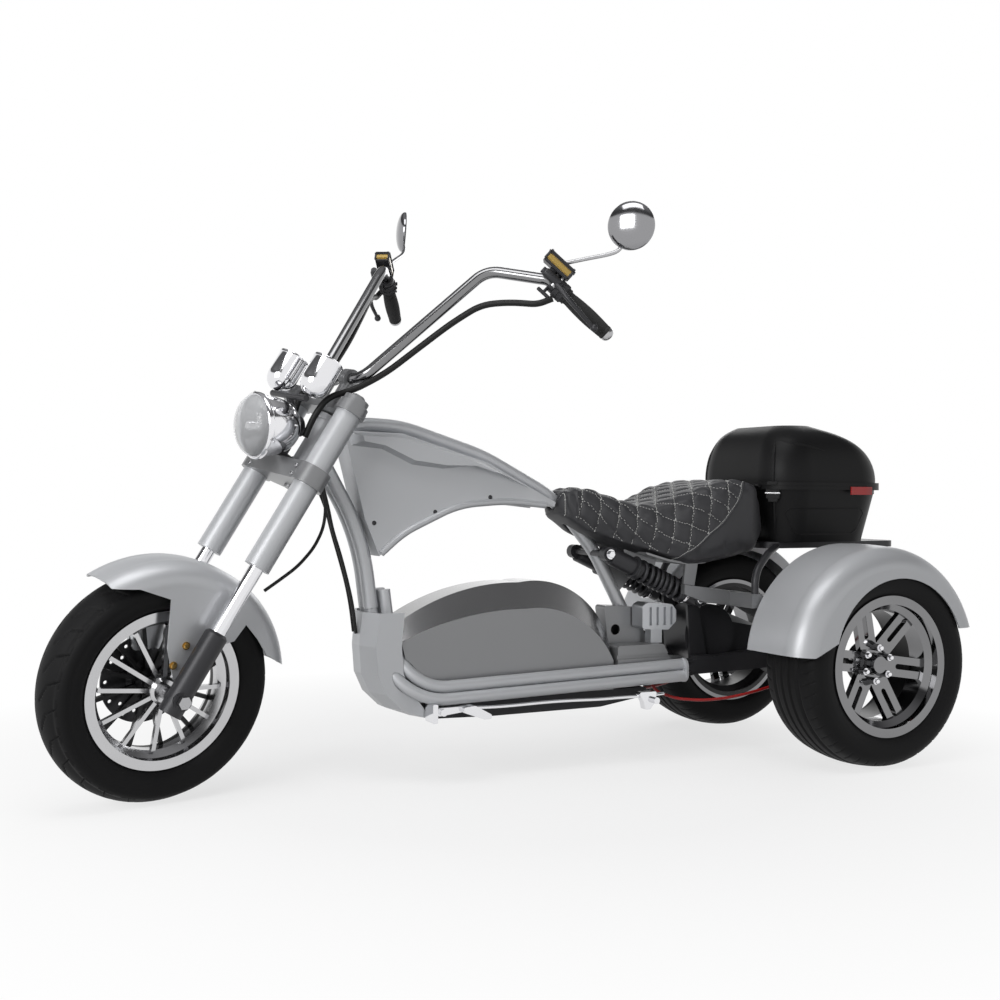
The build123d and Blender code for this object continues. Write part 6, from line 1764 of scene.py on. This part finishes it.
@dataclass
class Studio:
    """Pale floor and backdrop, soft lamps and the camera of the photograph."""

    eye: Point = (2177.4, 2741.9, 649.0)
    yaw: float = math.radians(-116.08)
    pitch: float = math.radians(0.29)
    roll: float = math.radians(0.34)
    lens: float = 46.66
    floor_half: float = 60.0
    floor_bounce: float = 0.22
    floor_lift: float = 0.70
    shadow_reach: tuple[float, float] = (0.7, 1.7)
    wall_top: tuple[float, float] = (0.40, 0.46)

    def build(self) -> None:
        """Make the floor, the world, the lamps and the camera."""
        self.make_floor()
        self.make_world()
        self.make_lamps()
        self.make_camera()
        bpy.context.scene.view_settings.view_transform = "Standard"

    def make_floor(self) -> None:
        """Lay the floor: white to the camera but for the shadow near the trike, grey in reflections."""
        mesh = bpy.data.meshes.new("studio_floor")
        h = self.floor_half
        mesh.from_pydata([(-h, -h, 0), (h, -h, 0), (h, h, 0), (-h, h, 0)], [], [(0, 1, 2, 3)])
        floor = bpy.data.objects.new("studio_floor", mesh)
        bpy.context.scene.collection.objects.link(floor)
        paint = bpy.data.materials.new("studio_floor")
        paint.use_nodes = True
        nodes, links = paint.node_tree.nodes, paint.node_tree.links
        shader = nodes["Principled BSDF"]
        shader.inputs["Roughness"].default_value = 0.9
        shader.inputs["Specular IOR Level"].default_value = 0.0
        seen = self.shown(nodes, links)
        tone = nodes.new("ShaderNodeMix")
        tone.data_type = "RGBA"
        tone.inputs["A"].default_value = (self.floor_bounce,) * 3 + (1.0,)
        tone.inputs["B"].default_value = (0.93, 0.93, 0.93, 1.0)
        links.new(seen, tone.inputs["Factor"])
        links.new(tone.outputs["Result"], shader.inputs["Base Color"])
        white = nodes.new("ShaderNodeEmission")
        reach = nodes.new("ShaderNodeVectorMath")
        reach.operation = "LENGTH"
        links.new(nodes.new("ShaderNodeTexCoord").outputs["Object"], reach.inputs[0])
        fade = nodes.new("ShaderNodeMapRange")
        fade.inputs["From Min"].default_value, fade.inputs["From Max"].default_value = self.shadow_reach
        fade.inputs["To Min"].default_value = self.floor_lift
        links.new(reach.outputs["Value"], fade.inputs["Value"])
        lift = nodes.new("ShaderNodeMath")
        lift.operation = "MULTIPLY"
        links.new(fade.outputs["Result"], lift.inputs[0])
        links.new(seen, lift.inputs[1])
        mix = nodes.new("ShaderNodeMixShader")
        links.new(lift.outputs["Value"], mix.inputs["Fac"])
        links.new(shader.outputs["BSDF"], mix.inputs[1])
        links.new(white.outputs["Emission"], mix.inputs[2])
        links.new(mix.outputs["Shader"], nodes["Material Output"].inputs["Surface"])
        mesh.materials.append(paint)

    def shown(self, nodes: bpy.types.Nodes, links: bpy.types.NodeLinks) -> bpy.types.NodeSocket:
        """One for what the camera, metal and glass see of the background, nought for its light on things."""
        path = nodes.new("ShaderNodeLightPath")
        found = path.outputs["Is Camera Ray"]
        for name in ("Is Glossy Ray", "Is Transmission Ray"):
            both = nodes.new("ShaderNodeMath")
            both.operation = "MAXIMUM"
            links.new(found, both.inputs[0])
            links.new(path.outputs[name], both.inputs[1])
            found = both.outputs["Value"]
        return found

    def make_world(self) -> None:
        """Light the scene from a pale sky over a dark horizon, with a white backdrop all round to be seen."""
        world = bpy.data.worlds.new("studio_sky")
        world.use_nodes = True
        bpy.context.scene.world = world
        nodes, links = world.node_tree.nodes, world.node_tree.links
        sky = nodes["Background"]
        coords = nodes.new("ShaderNodeTexCoord")
        split = nodes.new("ShaderNodeSeparateXYZ")
        links.new(coords.outputs["Generated"], split.inputs["Vector"])
        ramp = nodes.new("ShaderNodeValToRGB")
        stops = ramp.color_ramp.elements
        stops[0].position, stops[0].color = 0.0, (0.05, 0.05, 0.052, 1.0)
        stops[1].position, stops[1].color = 1.0, (0.42, 0.42, 0.43, 1.0)
        for place, level in ((0.40, 0.08), (0.60, 0.12), (0.80, 0.34)):
            stop = stops.new(place)
            stop.color = (level, level, level * 1.02, 1.0)
        links.new(split.outputs["Z"], ramp.inputs["Fac"])
        white = nodes.new("ShaderNodeMix")
        white.data_type = "RGBA"
        white.inputs["B"].default_value = (1.0, 1.0, 1.0, 1.0)
        wall = nodes.new("ShaderNodeMapRange")
        wall.inputs["From Min"].default_value, wall.inputs["From Max"].default_value = self.wall_top
        wall.inputs["To Min"].default_value, wall.inputs["To Max"].default_value = 1.0, 0.0
        links.new(split.outputs["Z"], wall.inputs["Value"])
        part = nodes.new("ShaderNodeMath")
        part.operation = "MULTIPLY"
        links.new(wall.outputs["Result"], part.inputs[0])
        links.new(self.shown(nodes, links), part.inputs[1])
        links.new(part.outputs["Value"], white.inputs["Factor"])
        links.new(ramp.outputs["Color"], white.inputs["A"])
        links.new(white.outputs["Result"], sky.inputs["Color"])

    def add_lamp(self, name: str, place: Point, aim: Point, size: tuple[float, float], power: float) -> None:
        """Hang one soft box.

        Args:
            name: Name of the lamp.
            place: Where it hangs, in metres.
            aim: What it shines on, in metres.
            size: Width and height in metres.
            power: Watts.
        """
        light = bpy.data.lights.new(name, "AREA")
        light.shape = "RECTANGLE"
        light.size, light.size_y = size
        light.energy = power
        lamp = bpy.data.objects.new(name, light)
        lamp.location = place
        lamp.rotation_euler = (Vector(aim) - Vector(place)).to_track_quat("-Z", "Y").to_euler()
        bpy.context.scene.collection.objects.link(lamp)

    def make_lamps(self) -> None:
        """Hang the soft boxes: one over the trike, one by the camera and one behind."""
        self.add_lamp("overhead_box", (0.9, 0.9, 3.2), (0.2, 0.0, 0.4), (2.2, 1.4), 32.0)
        self.add_lamp("front_box", (3.6, 2.0, 1.9), (0.1, 0.0, 0.5), (2.0, 1.8), 72.0)
        self.add_lamp("back_box", (-2.4, -2.6, 2.2), (0.0, 0.0, 0.6), (2.4, 1.6), 24.0)

    def make_camera(self) -> None:
        """Set the camera where the photograph was taken from."""
        ahead = Vector((math.cos(self.pitch) * math.cos(self.yaw), math.cos(self.pitch) * math.sin(self.yaw),
                        -math.sin(self.pitch)))
        right = ahead.cross(Vector((0, 0, 1))).normalized()
        up = right.cross(ahead)
        across = right * math.cos(self.roll) + up * math.sin(self.roll)
        upright = up * math.cos(self.roll) - right * math.sin(self.roll)
        data = bpy.data.cameras.new("photo_camera")
        data.lens = self.lens
        data.sensor_width = 36.0
        data.clip_end = 200.0
        camera = bpy.data.objects.new("photo_camera", data)
        turn = Matrix((across, upright, -ahead)).transposed().to_4x4()
        camera.matrix_world = Matrix.Translation(at(*self.eye)) @ turn
        bpy.context.scene.collection.objects.link(camera)
        bpy.context.scene.camera = camera


def main() -> None:
    """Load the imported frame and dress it."""
    logging.basicConfig(level=logging.INFO)
    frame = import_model()
    nodes = frame["nodes"]
    Dresser().apply(nodes)
    Details().build(nodes)
    Studio().build()


if __name__ == "__main__":
    main()
